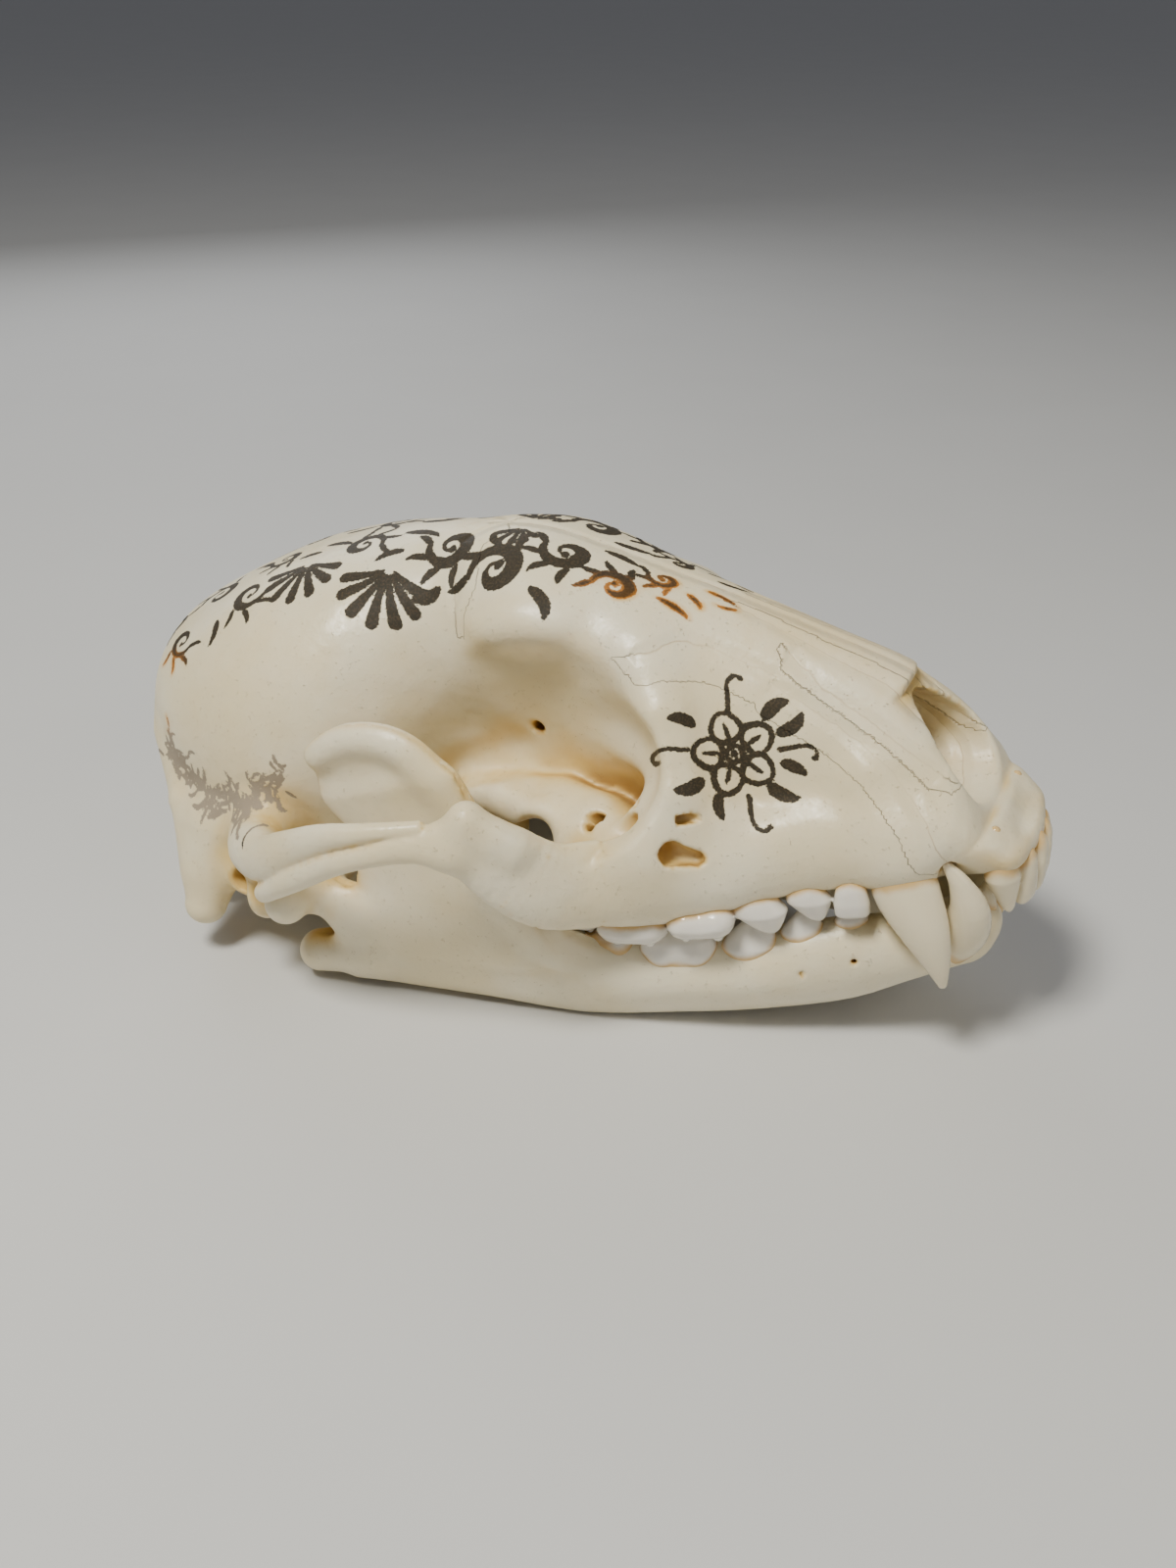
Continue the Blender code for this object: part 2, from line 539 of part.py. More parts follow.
def surface(field, low, high, step):
    """Vertices and triangles of a field's surface, always closed: each cell is cut as six tetrahedra."""
    counts = np.ceil((np.asarray(high) - low) / step).astype(int) + 1
    ticks = [low[i] + step * np.arange(counts[i]) for i in range(3)]
    grid = np.stack(np.meshgrid(*ticks, indexing="ij"), axis=-1).reshape(-1, 3).astype(np.float32)
    parts = np.array_split(grid, 1 + len(grid) // 200_000)
    values = np.concatenate([field(part) for part in parts]).astype(float)
    values = np.where(np.abs(values) < 0.02 * step, 0.02 * step, values)
    strides = np.array([counts[1] * counts[2], counts[2], 1])
    corners = np.meshgrid(*[np.arange(n - 1) for n in counts], indexing="ij")
    cells = np.stack(corners, axis=-1).reshape(-1, 3) @ strides
    edges, quads = [], []
    for order in ((0, 1, 2), (0, 2, 1), (1, 0, 2), (1, 2, 0), (2, 0, 1), (2, 1, 0)):
        corners = cells[:, None] + np.concatenate([[0], np.cumsum(strides[list(order)])])
        outside = values[corners] >= 0
        mixed = outside.any(axis=1) & ~outside.all(axis=1)
        corners, outside = corners[mixed], outside[mixed]
        corners = np.take_along_axis(corners, np.argsort(outside, axis=1, kind="stable"), axis=1)
        count = (~outside).sum(axis=1)
        for inner, pairs in ((1, ((0, 1), (0, 2), (0, 3))), (3, ((0, 3), (1, 3), (2, 3))),
                             (2, ((0, 2), (0, 3), (1, 3), (1, 2)))):
            found = corners[count == inner]
            ends = np.stack([found[:, list(pair)] for pair in pairs], axis=1)
            outward = grid[found[:, inner:]].mean(axis=1) - grid[found[:, :inner]].mean(axis=1)
            edges.append(ends.reshape(-1, 2))
            quads.append((len(pairs), outward))
    keys, index = np.unique(np.vstack(edges), axis=0, return_inverse=True)
    a, b = values[keys[:, 0]], values[keys[:, 1]]
    points = grid[keys[:, 0]] + (a / (a - b))[:, None] * (grid[keys[:, 1]] - grid[keys[:, 0]])
    index = index.reshape(-1)
    faces, start = [], 0
    for sides, outward in quads:
        ring = index[start:start + sides * len(outward)].reshape(-1, sides)
        start += ring.size
        for corner in range(1, sides - 1):
            tri = ring[:, [0, corner, corner + 1]]
            normal = np.cross(points[tri[:, 1]] - points[tri[:, 0]], points[tri[:, 2]] - points[tri[:, 0]])
            wrong = np.einsum("ij,ij->i", normal, outward) < 0
            tri[wrong] = tri[wrong][:, ::-1]
            faces.append(tri)
    return settle(field, points, step), np.vstack(faces)


def settle(field, points, step):
    """Move the vertices onto the field's surface."""
    reach = 0.05
    for _ in range(2):
        p = points.astype(np.float32)
        shifts = np.eye(3, dtype=np.float32) * reach
        slope = np.stack([(field(p + shift) - field(p - shift)) / (2 * reach) for shift in shifts], axis=1)
        move = -(field(p) / np.maximum((slope**2).sum(axis=1), 0.25))[:, None] * slope
        length = np.linalg.norm(move, axis=1, keepdims=True)
        points = points + move * np.minimum(1.0, 0.3 * step / np.maximum(length, 1e-9))
    return points


def mesh_object(name, points, faces):
    mesh = bpy.data.meshes.new(name)
    mesh.from_pydata(points.tolist(), [], faces.tolist())
    solid = bpy.data.objects.new(name, mesh)
    bpy.context.scene.collection.objects.link(solid)
    return solid


def settled(solid):
    """The object with its modifiers applied."""
    graph = bpy.context.evaluated_depsgraph_get()
    mesh = bpy.data.meshes.new_from_object(solid.evaluated_get(graph))
    solid.modifiers.clear()
    solid.data = mesh
    return solid


def thinned(solid, faces):
    decimate = solid.modifiers.new("fewer_faces", "DECIMATE")
    decimate.ratio = faces / len(solid.data.polygons)
    decimate.use_collapse_triangulate = True
    return settled(solid)


def mirrored(solid, name):
    copy = bpy.data.objects.new(name, solid.data.copy())
    bpy.context.scene.collection.objects.link(copy)
    copy.data.transform(Matrix.Diagonal((1, -1, 1, 1)))
    copy.data.flip_normals()
    return copy


def largest_shell(solid):
    """Keep only the biggest closed surface, with no loose bits."""
    work = bmesh.new()
    work.from_mesh(solid.data)
    bmesh.ops.triangulate(work, faces=work.faces[:])
    left, shells = set(work.verts), []
    while left:
        shell, front = set(), [left.pop()]
        while front:
            vert = front.pop()
            shell.add(vert)
            near = {edge.other_vert(vert) for edge in vert.link_edges} & left
            left -= near
            front.extend(near)
        shells.append(shell)
    biggest = max(shells, key=len)
    loose = [vert for shell in shells if shell is not biggest for vert in shell]
    bmesh.ops.delete(work, geom=loose, context="VERTS")
    work.to_mesh(solid.data)
    work.free()


def joined(bone, teeth):
    """The bone with its teeth fused on, one closed solid."""
    holder = bpy.data.collections.new(bone.name + "_teeth")
    bpy.context.scene.collection.children.link(holder)
    for piece in teeth:
        bpy.context.scene.collection.objects.unlink(piece)
        holder.objects.link(piece)
    union = bone.modifiers.new("teeth", "BOOLEAN")
    union.operation = "UNION"
    union.solver = "MANIFOLD"
    union.operand_type = "COLLECTION"
    union.collection = holder
    settled(bone)
    for piece in teeth:
        bpy.data.objects.remove(piece)
    bpy.data.collections.remove(holder)
    largest_shell(bone)


def grow_teeth(kinds, name):
    """The teeth of one side, each thinned to few faces."""
    teeth = []
    for number, (field, (low, high), faces) in enumerate(kinds):
        solid = mesh_object(f"{name}_tooth_{number}", *surface(field, low, high, TOOTH_STEP))
        teeth.append(thinned(solid, faces))
    return teeth


def bone_material():
    material = bpy.data.materials.new("bone")
    material.use_nodes = True
    shader = material.node_tree.nodes["Principled BSDF"]
    shader.inputs["Base Color"].default_value = (0.86, 0.77, 0.62, 1.0)
    shader.inputs["Roughness"].default_value = 0.4
    return material


def build():
    for old in list(bpy.data.objects):
        bpy.data.objects.remove(old)
    skull = mesh_object("cranium", *surface(cranium, *CRANIUM_BOX, BONE_STEP))
    thinned(skull, CRANIUM_FACES)
    right = grow_teeth(upper_teeth(), "upper")
    joined(skull, right + [mirrored(piece, piece.name + "_left") for piece in right])
    cheek = mesh_object("jugal_right", *surface(jugal, *JUGAL_BOX, JUGAL_STEP))
    thinned(cheek, JUGAL_FACES)
    jaw = mesh_object("mandible_right", *surface(mandible, *MANDIBLE_BOX, BONE_STEP))
    thinned(jaw, MANDIBLE_FACES)
    joined(jaw, grow_teeth(lower_teeth(), "lower"))
    bones = [skull, cheek, mirrored(cheek, "jugal_left"), jaw, mirrored(jaw, "mandible_left")]
    place(bones)


def place(bones):
    """Tip the skull back onto its jaw, stand it on the floor and turn millimetres into metres."""
    tip = Matrix.Rotation(-NOSE_UP, 4, "Y")
    for bone in bones:
        bone.data.transform(tip)
    ends = np.array([vert.co for bone in bones for vert in bone.data.vertices])
    low, high = ends.min(axis=0), ends.max(axis=0)
    shift = Matrix.Translation((-(low[0] + high[0]) / 2, 0.0, -low[2]))
    material = bone_material()
    group = bpy.data.collections.new("raccoon_skull")
    bpy.context.scene.collection.children.link(group)
    for bone in bones:
        bone.data.transform(Matrix.Scale(MM, 4) @ shift)
        bone.data.materials.clear()
        bone.data.materials.append(material)
        bpy.context.scene.collection.objects.unlink(bone)
        group.objects.link(bone)


build()
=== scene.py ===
"""Looks of the raccoon skull: fine bone and enamel, an ornament in dark ink, a pale floor and studio light.

The bones and teeth are the same fields as the part's, in millimetres in the skull's own frame, meshed finely
and with small holes added. Ink, scorch marks, sutures and how deep a spot lies in a hollow are attributes of
the mesh.
"""

import math

import bpy
import numpy as np
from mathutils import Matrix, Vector


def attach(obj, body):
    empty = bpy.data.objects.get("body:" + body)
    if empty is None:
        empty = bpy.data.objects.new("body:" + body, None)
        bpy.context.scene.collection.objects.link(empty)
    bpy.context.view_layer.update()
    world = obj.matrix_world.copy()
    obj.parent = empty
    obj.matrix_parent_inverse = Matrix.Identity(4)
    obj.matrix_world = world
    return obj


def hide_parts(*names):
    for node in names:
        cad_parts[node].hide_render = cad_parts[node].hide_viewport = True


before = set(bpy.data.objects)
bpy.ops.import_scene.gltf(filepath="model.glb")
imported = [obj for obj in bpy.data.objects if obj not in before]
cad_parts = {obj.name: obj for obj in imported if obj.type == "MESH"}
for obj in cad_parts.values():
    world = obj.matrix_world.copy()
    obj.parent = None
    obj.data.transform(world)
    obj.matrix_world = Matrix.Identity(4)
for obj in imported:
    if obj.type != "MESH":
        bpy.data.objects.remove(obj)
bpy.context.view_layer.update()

MM = 0.001
NOSE_UP = math.radians(8.8)       # how far the skull tips back when it lies on its jaw
GAP = 0.14                        # between two bones, finer than the solids'
CREASE = 0.06                     # how far the cheek bones are raised to meet the upper skull
BITE_GAP = 0.25
FAR = 12.0                        # stands for any distance too long to matter
BONE_STEP = 0.6                   # cells of the grids that the pieces are meshed in
JAW_STEP = 0.5
TOOTH_STEP = 0.3
BLOCK = 8                         # grid cells along a block that is skipped where the surface is far
PROBE = 0.05                      # step at which a field's slope is felt
HOLLOW_REACH = (1.5, 3.5, 7.0)    # how far out bone is looked for, to tell a hollow
FLOOR_REACH = 8.0                 # metres
SMALL_HOLES = (                   # bars (x, y, z, radius)
    ((-57.0, -9.6, 17.1, 0.75), (-56.0, -5.4, 16.4, 0.7)),
    ((-46.8, -16.4, 9.6, 0.7), (-44.0, -14.0, 6.4, 0.6)),
    ((-47.2, -17.6, 9.0, 0.45), (-45.6, -16.0, 6.4, 0.4)),
    ((-41.8, -17.4, 12.1, 0.4), (-39.6, -15.6, 10.8, 0.4)),
    ((-35.0, -19.4, 11.8, 0.9), (-32.8, -18.6, 11.4, 0.35)),
    ((-17.4, -13.8, -8.9, 0.3), (-18.2, -12.2, -9.4, 0.3)),
    ((-23.4, -15.4, -10.2, 0.26), (-24.2, -13.6, -10.8, 0.26)),
)
DOME_AXIS = 18.0                  # height of the line that the crown's ornament is wrapped round
DOME_REACH = 20.0                 # millimetres across for each radian round it
CHEEK = (-29.6, -12.8, 16.8)      # middle of the flower, and its two directions
CHEEK_ALONG = (0.861, 0.505, 0.062)
CHEEK_DOWN = (0.211, -0.386, -0.898)
CHEEK_REACH = 11.0
CHEEK_SCALE = 1.12                # the flower is this many times smaller than drawn
NO_INK = 3.0                      # distance where no ink or suture is near
SEAMS = (                         # plane of two axes, line in it, and the lowest height that it shows at
    ((0, 2), ((-24.5, 25.8), (-20.7, 22.6), (-14.1, 18.2), (-7.8, 13.4)), 9.0),
    ((0, 2), ((-26.0, 23.4), (-20.5, 20.0), (-13.8, 15.6), (-8.8, 9.9), (-6.8, 5.0)), 3.0),
    ((0, 2), ((-40.0, 28.5), (-36.5, 28.8), (-31.5, 26.9), (-26.0, 24.1)), 20.0),
    ((0, 1), ((-62.0, 0.0), (-10.0, 0.0)), 15.0),
    ((0, 1), ((-31.0, 2.4), (-21.4, 3.7), (-11.0, 4.6)), 17.0),
    ((0, 1), ((-60.0, 0.0), (-64.0, 5.0), (-63.0, 11.0)), 30.0),
)
SCORCHES = (                      # places and sizes of burnt marks
    (-44.5, -9.5, 32.0, 7.0),
    (-36.0, -6.0, 30.6, 9.0),
    (-29.0, -4.0, 28.4, 6.0),
    (-102.6, -17.0, 24.0, 7.0),
)
FAINT = (                         # where the ink is thin and grey
    (-96.0, -22.0, 13.0, 15.0),
)
NECK_REACH = 2.0                  # how far from the bone a tooth loses its yellow
FRONT_FROM = -16.5                # canines and incisors are creamier than the teeth behind this x
FRONT_BLEND = 3.0
WARM_SHADE_SPOTS = (                        # patches of painted warm shade: the nose's inside, the jaw joint
    (-14.0, 0.0, 14.0, 10.0),
    (-88.0, -24.0, 4.0, 9.0),
)
CAMERA_AT = (0.069236, -0.162195, 0.118002)
CAMERA_TURN = (61.13, -0.05, 22.95)
LENS = 36.0


def smooth_union(a, b, blend):
    """The nearer of two fields, with a fillet about as wide as blend where they meet."""
    part = np.maximum(blend - np.abs(a - b), 0.0) / blend
    return np.minimum(a, b) - part * part * blend * 0.25


def smooth_cut(body, hole, blend):
    return -smooth_union(-body, hole, blend)


def within(p, low, high, field):
    """The field near a box, and FAR elsewhere, which saves most of the work."""
    margin = 6.0
    near = np.all((p > np.subtract(low, margin)) & (p < np.add(high, margin)), axis=1)
    result = np.full(len(p), FAR, p.dtype)
    if near.any():
        result[near] = field(p[near])
    return result


def stretched(local, radii):
    """Near-distance to an ellipsoid with these radii, from coordinates along its own axes."""
    once = np.linalg.norm(local / radii, axis=1)
    twice = np.linalg.norm(local / np.square(radii), axis=1)
    return once * (once - 1.0) / np.maximum(twice, 1e-6)


def ellipsoid(p, centre, radii, tilt=0.0):
    """An ellipsoid, tipped nose up by tilt degrees."""
    centre = np.asarray(centre, p.dtype)
    reach = max(radii)

    def field(q):
        local = q - centre
        if tilt:
            c, s = math.cos(math.radians(tilt)), math.sin(math.radians(tilt))
            local = np.stack(
                [local[:, 0] * c + local[:, 2] * s, local[:, 1], local[:, 2] * c - local[:, 0] * s], axis=1
            )
        return stretched(local, np.asarray(radii, p.dtype))

    return within(p, centre - reach, centre + reach, field)


def bar(p, *points):
    """A round bar through points (x, y, z, radius)."""
    result = None
    for start, end in zip(points, points[1:]):
        a, b = np.array(start[:3], p.dtype), np.array(end[:3], p.dtype)

        def field(q, a=a, b=b, start=start, end=end):
            t = np.clip((q - a) @ (b - a) / max((b - a) @ (b - a), 1e-9), 0.0, 1.0)
            return np.linalg.norm(q - a - t[:, None] * (b - a), axis=1) - (start[3] + (end[3] - start[3]) * t)

        thick = max(start[3], end[3])
        found = within(p, np.minimum(a, b) - thick, np.maximum(a, b) + thick, field)
        result = found if result is None else smooth_union(result, found, 0.8)
    return result


def through(points, steps=3):
    """Rows of numbers on a smooth curve through the given rows."""
    rows = np.asarray(points, float)
    padded = np.vstack([2 * rows[0] - rows[1], rows, 2 * rows[-1] - rows[-2]])
    t = np.arange(steps)[:, None] / steps
    spans = [
        0.5 * (2 * b + (c - a) * t + (2 * a - 5 * b + 4 * c - d) * t**2 + (3 * b - a - 3 * c + d) * t**3)
        for a, b, c, d in zip(padded, padded[1:], padded[2:], padded[3:])
    ]
    return np.vstack([*spans, rows[-1:]])


def strip(p, points, up=(0, 0, 1)):
    """A flat bar, oval in section, on a curve through points (x, y, z, half height, half thickness)."""
    rows = through(points, 4)
    thick = rows[:, 3:].max()
    up = np.asarray(up, p.dtype)

    def field(q):
        best = np.full(len(q), np.inf, q.dtype)
        result = np.empty(len(q), q.dtype)
        for start, end in zip(rows, rows[1:]):
            a, b = start[:3].astype(q.dtype), end[:3].astype(q.dtype)
            along = (b - a) / np.linalg.norm(b - a)
            side = np.cross(along, up)
            side /= np.linalg.norm(side)
            t = np.clip((q - a) @ (b - a) / ((b - a) @ (b - a)), 0.0, 1.0)
            offset = q - a - t[:, None] * (b - a)
            away = np.einsum("ij,ij->i", offset, offset)
            nearer = away < best
            local = offset[nearer] @ np.stack([along, side, np.cross(side, along)], axis=1)
            half = (start[3:] + (end[3:] - start[3:]) * t[nearer, None]).astype(q.dtype)
            radii = np.stack([half.min(axis=1), half[:, 1], half[:, 0]], axis=1)
            result[nearer] = stretched(local, radii)
            best[nearer] = away[nearer]
        return result

    return within(p, rows[:, :3].min(axis=0) - thick, rows[:, :3].max(axis=0) + thick, field)


def loft(p, stations, end_blend=2.0):
    """A body along x from stations (x, middle z, half height, half width, squareness, taper upwards)."""
    rows = through(sorted(stations), 12)
    x = np.clip(p[:, 0], rows[0, 0], rows[-1, 0])
    columns = [np.interp(x, rows[:, 0], column).astype(p.dtype) for column in rows.T[1:]]
    middle, high, wide, square, taper = columns
    rise = (p[:, 2] - middle) / high
    wide = wide * (1.0 - taper * np.clip(rise, -1.0, 1.0))
    reach = (np.abs(p[:, 1] / wide) ** square + np.abs(rise) ** square) ** (1.0 / square)
    past = np.maximum(rows[0, 0] - p[:, 0], p[:, 0] - rows[-1, 0])
    return -smooth_union(-(reach - 1.0) * np.minimum(wide, high), -past.astype(p.dtype), end_blend)


VAULT = (  # braincase, forehead and snout: x, middle z, half height, half width, squareness, taper
    (-109.6, 19.0, 7.5, 11.0, 2.2, 0.0),
    (-106.8, 18.5, 12.0, 16.6, 2.2, 0.0),
    (-100.0, 17.3, 16.4, 21.2, 2.3, 0.02),
    (-90.0, 17.8, 19.3, 23.8, 2.3, 0.03),
    (-80.0, 20.0, 19.0, 22.0, 2.2, 0.03),
    (-73.0, 23.5, 16.2, 17.2, 2.2, 0.05),
    (-66.0, 27.2, 12.7, 12.4, 2.2, 0.0),
    (-60.0, 28.3, 11.8, 12.6, 2.3, 0.0),
    (-54.0, 27.8, 11.4, 13.8, 2.4, -0.05),
    (-47.0, 25.6, 11.2, 13.2, 2.4, 0.0),
    (-40.0, 22.0, 12.0, 12.4, 2.4, 0.15),
    (-32.0, 17.8, 13.0, 12.2, 2.4, 0.26),
    (-22.0, 13.6, 12.9, 11.6, 2.4, 0.28),
    (-13.0, 10.8, 11.6, 10.8, 2.4, 0.25),
    (-6.0, 8.0, 9.5, 9.8, 2.2, 0.15),
    (-1.2, 3.2, 2.6, 7.3, 2.0, 0.0),
    (1.8, 2.9, 1.8, 4.9, 2.0, 0.0),
)
KEEL = (  # the floor of the skull, between the eyes and under the brain
    (-108.0, 5.0, 5.0, 10.0, 2.5, 0.0),
    (-98.0, 5.5, 7.0, 12.5, 2.5, 0.0),
    (-88.0, 7.0, 8.6, 14.0, 2.4, 0.0),
    (-78.0, 9.5, 9.8, 11.0, 2.3, 0.0),
    (-68.0, 12.5, 11.0, 8.2, 2.3, 0.0),
    (-58.0, 13.2, 10.4, 7.6, 2.4, 0.0),
    (-48.0, 13.0, 11.0, 8.2, 2.5, 0.0),
    (-40.0, 12.5, 10.6, 10.5, 2.5, 0.0),
    (-33.0, 11.0, 9.0, 11.0, 2.5, 0.0),
)
AIRWAY = (  # the nose, open in front
    (-31.0, 18.0, 6.5, 5.0, 2.0, 0.0),
    (-20.0, 15.0, 7.0, 6.4, 2.0, 0.2),
    (-12.0, 13.2, 6.1, 6.8, 2.1, 0.22),
    (-9.0, 13.0, 6.0, 6.8, 2.1, 0.2),
    (6.0, 13.0, 6.0, 6.9, 2.1, 0.1),
)
NOSE_RIM = (  # z and x of the edge of the nose opening, from its floor up to the tip of the nasal bones
    (6.5, -3.3),
    (8.6, -4.1),
    (11.2, -5.2),
    (14.0, -7.1),
    (16.8, -9.3),
    (19.0, -11.5),
    (20.4, -12.6),
    (21.3, -11.8),
    (22.3, -9.8),
)


def folded(p):
    """The same points on the right side of the midline."""
    q = p.copy()
    q[:, 1] = -np.abs(q[:, 1])
    return q


def jugal(p):
    """The cheek bone: from the upper jaw back under the eye, to a thin end below the temple's prong."""
    arch = strip(p, (
        (-44.5, -23.3, 4.6, 5.2, 2.0),
        (-48.0, -26.8, 6.0, 5.0, 1.9),
        (-51.5, -29.6, 9.6, 4.5, 1.7),
        (-55.5, -31.8, 12.9, 2.9, 1.6),
        (-60.5, -33.6, 13.9, 1.9, 1.5),
        (-66.0, -34.8, 13.1, 1.45, 1.4),
        (-71.0, -35.2, 11.7, 1.5, 1.4),
        (-77.0, -34.6, 8.9, 1.5, 1.4),
        (-83.0, -32.6, 5.4, 1.1, 1.2),
    ))
    process = bar(p, (-56.4, -31.9, 13.2, 2.0), (-54.3, -31.5, 16.5, 1.7), (-50.6, -29.6, 12.4, 1.5))
    return smooth_union(arch, process, 2.5)


def temple_prong(p):
    """The part of the braincase that reaches forward over the jugal."""
    return strip(p, (
        (-90.0, -21.5, 8.0, 4.2, 4.0),
        (-87.0, -27.5, 8.2, 3.6, 3.4),
        (-82.0, -32.2, 9.8, 2.9, 2.2),
        (-77.0, -34.6, 12.6, 2.3, 1.5),
        (-71.0, -35.4, 15.0, 1.7, 1.3),
        (-65.0, -34.9, 15.9, 1.1, 1.1),
        (-59.5, -33.4, 16.1, 0.8, 0.9),
    ))


def snout_forms(p, d):
    """Tooth ridge, canine root, cheek in front of the eye, and the root of the cheek arch."""
    ridge = strip(p, (
        (-2.8, -6.4, 3.3, 2.0, 2.5),
        (-8.0, -9.6, 6.8, 3.3, 3.3),
        (-13.0, -11.2, 5.4, 4.6, 3.5),
        (-17.0, -11.6, 5.2, 4.8, 3.2),
        (-25.0, -13.4, 4.8, 5.2, 3.4),
        (-33.0, -15.6, 3.2, 5.2, 4.6),
        (-41.0, -16.7, 1.4, 4.7, 5.1),
        (-48.5, -15.8, 0.0, 3.9, 4.6),
        (-52.0, -13.0, 0.2, 2.8, 2.8),
    ))
    d = smooth_union(d, ridge, 3.5)
    d = smooth_union(d, bar(p, (-11.8, -9.7, 4.8, 3.7), (-15.5, -8.6, 12.5, 2.6)), 4.0)
    brow = bar(p, (-41.0, -10.0, 27.0, 2.4), (-38.0, -13.6, 21.5, 3.0), (-36.6, -16.6, 13.5, 3.6),
               (-39.5, -20.0, 8.0, 3.8))
    d = smooth_union(d, brow, 6.0)
    root = strip(p, (
        (-33.0, -13.5, 7.0, 5.0, 3.6),
        (-39.0, -19.0, 5.8, 5.8, 3.2),
        (-44.0, -23.0, 4.7, 5.3, 2.6),
        (-47.5, -26.3, 6.0, 4.9, 2.0),
    ))
    return smooth_union(d, root, 4.0)


def orbit_cut(p, d):
    """The eye socket, its floor over the back teeth, and the fissures at its inner end."""
    d = smooth_cut(d, ellipsoid(p, (-53.0, -26.0, 21.0), (12.6, 16.2, 11.4)), 5.0)
    d = smooth_cut(d, ellipsoid(p, (-47.9, -25.0, 17.8), (12.7, 15.4, 9.4)), 1.4)
    swelling = bar(p, (-66.0, -9.0, 8.4, 2.4), (-60.0, -10.4, 8.6, 3.3), (-54.0, -12.0, 7.9, 4.3),
                   (-48.0, -13.4, 5.0, 5.4), (-43.0, -14.6, 2.8, 5.6))
    d = smooth_union(d, swelling, 2.5)
    hollow = bar(p, (-68.0, -12.0, 0.4, 3.4), (-60.0, -13.4, 1.6, 3.7), (-54.6, -15.8, 2.0, 3.9))
    d = smooth_cut(d, hollow, 1.5)
    groove = bar(p, (-60.5, -10.2, 13.8, 1.4), (-54.6, -12.4, 13.2, 1.6), (-50.4, -14.4, 12.8, 0.9))
    d = smooth_cut(d, groove, 4.5)
    gap = bar(p, (-51.6, -22.0, 9.4, 1.6), (-55.0, -16.0, 6.1, 2.1), (-59.6, -8.0, 1.6, 2.4))
    d = smooth_cut(d, gap, 1.4)
    return smooth_cut(d, bar(p, (-67.0, -10.5, 11.5, 1.8), (-60.0, -9.0, 13.6, 2.0)), 2.0)


def braincase_forms(p, d):
    """Crest round the back, ear bulla and tube, mastoid, paroccipital, condyle, jaw joint and its lip."""
    d = smooth_union(d, temple_prong(p), 3.5)
    crest = bar(p, (-109.6, 1.0, 25.6, 1.7), (-109.0, -8.0, 23.4, 1.6), (-106.2, -15.4, 17.5, 1.5),
                (-102.6, -20.8, 10.5, 1.5), (-99.6, -23.8, 3.0, 1.8))
    d = smooth_union(d, crest, 3.0)
    d = smooth_union(d, ellipsoid(p, (-91.5, -12.6, -1.0), (8.6, 6.4, 6.4)), 1.6)
    d = smooth_union(d, bar(p, (-91.0, -16.0, 0.6, 3.8), (-91.5, -23.6, 2.4, 3.2)), 2.0)
    d = smooth_union(d, bar(p, (-97.0, -21.0, 7.0, 4.6), (-99.3, -25.2, -2.0, 2.7)), 3.5)
    d = smooth_union(d, bar(p, (-104.0, -14.0, 4.0, 3.2), (-104.8, -15.6, -4.6, 1.5)), 2.5)
    d = smooth_union(d, ellipsoid(p, (-108.4, -6.8, 3.2), (3.6, 3.8, 5.2), 20.0), 1.5)
    d = smooth_union(d, ellipsoid(p, (-87.6, -24.2, 2.0), (2.0, 6.2, 4.4)), 2.0)
    return smooth_cut(d, bar(p, (-91.6, -28.0, 2.8, 1.7), (-91.0, -17.0, 1.6, 1.5)), 0.6)


def palate_forms(p, d):
    """Wings beside the inner nostrils, the passage between them, and the hollow of the palate."""
    wing = strip(p, (
        (-62.0, -6.8, 3.2, 2.6, 1.2),
        (-70.0, -6.8, 2.4, 3.4, 1.0),
        (-77.0, -7.0, 1.2, 3.6, 0.9),
        (-82.0, -7.4, -1.2, 2.0, 0.8),
    ))
    d = smooth_union(d, wing, 2.0)
    d = smooth_cut(d, bar(p, (-60.0, 0.0, 6.6, 3.4), (-70.0, 0.0, 5.4, 4.6), (-80.0, 0.0, 2.6, 5.0),
                          (-88.0, 0.0, -2.6, 4.0)), 1.5)
    return smooth_cut(d, ellipsoid(p, (-27.0, 0.0, -3.2), (27.0, 9.4, 5.0), 0.0), 2.0)


def openings(p, d):
    """Nose, the canal below the eye, and the hole for the spinal cord."""
    rim_z, rim_x = zip(*NOSE_RIM)
    behind = 0.87 * (np.interp(p[:, 2], rim_z, rim_x).astype(p.dtype) - p[:, 0])
    d = smooth_cut(d, np.maximum(behind, rim_z[0] - p[:, 2]), 1.6)
    d = smooth_cut(d, loft(p, AIRWAY), 0.8)
    canal = bar(p, (-33.0, -19.6, 6.9, 0.8), (-35.8, -20.9, 8.2, 1.4), (-40.0, -19.0, 9.2, 1.8),
                (-46.0, -19.4, 10.9, 2.1))
    d = smooth_cut(d, canal, 0.8)
    return smooth_cut(d, bar(p, (-118.0, 0.0, 8.2, 5.6), (-98.0, 0.0, 12.0, 7.0)), 1.2)


def cranium(p):
    """All of the upper skull but its teeth and the two cheek bones."""
    q = folded(p)
    d = smooth_union(loft(q, VAULT), loft(q, KEEL), 5.0)
    d = smooth_union(d, ellipsoid(q, (-54.5, -12.0, 30.6), (4.4, 2.4, 2.0)), 5.0)
    d = snout_forms(q, d)
    d = orbit_cut(q, d)
    d = braincase_forms(q, d)
    d = palate_forms(q, d)
    d = openings(q, d)
    d = smooth_cut(d, jugal(q) - GAP, 0.3)
    d = smooth_cut(d, lower_canine(q) - BITE_GAP, 0.8)
    return smooth_cut(d, condyle(q) - GAP, 0.5)


def condyle(p):
    return bar(p, (-82.6, -18.0, 1.4, 2.6), (-82.6, -30.0, 2.4, 2.6))


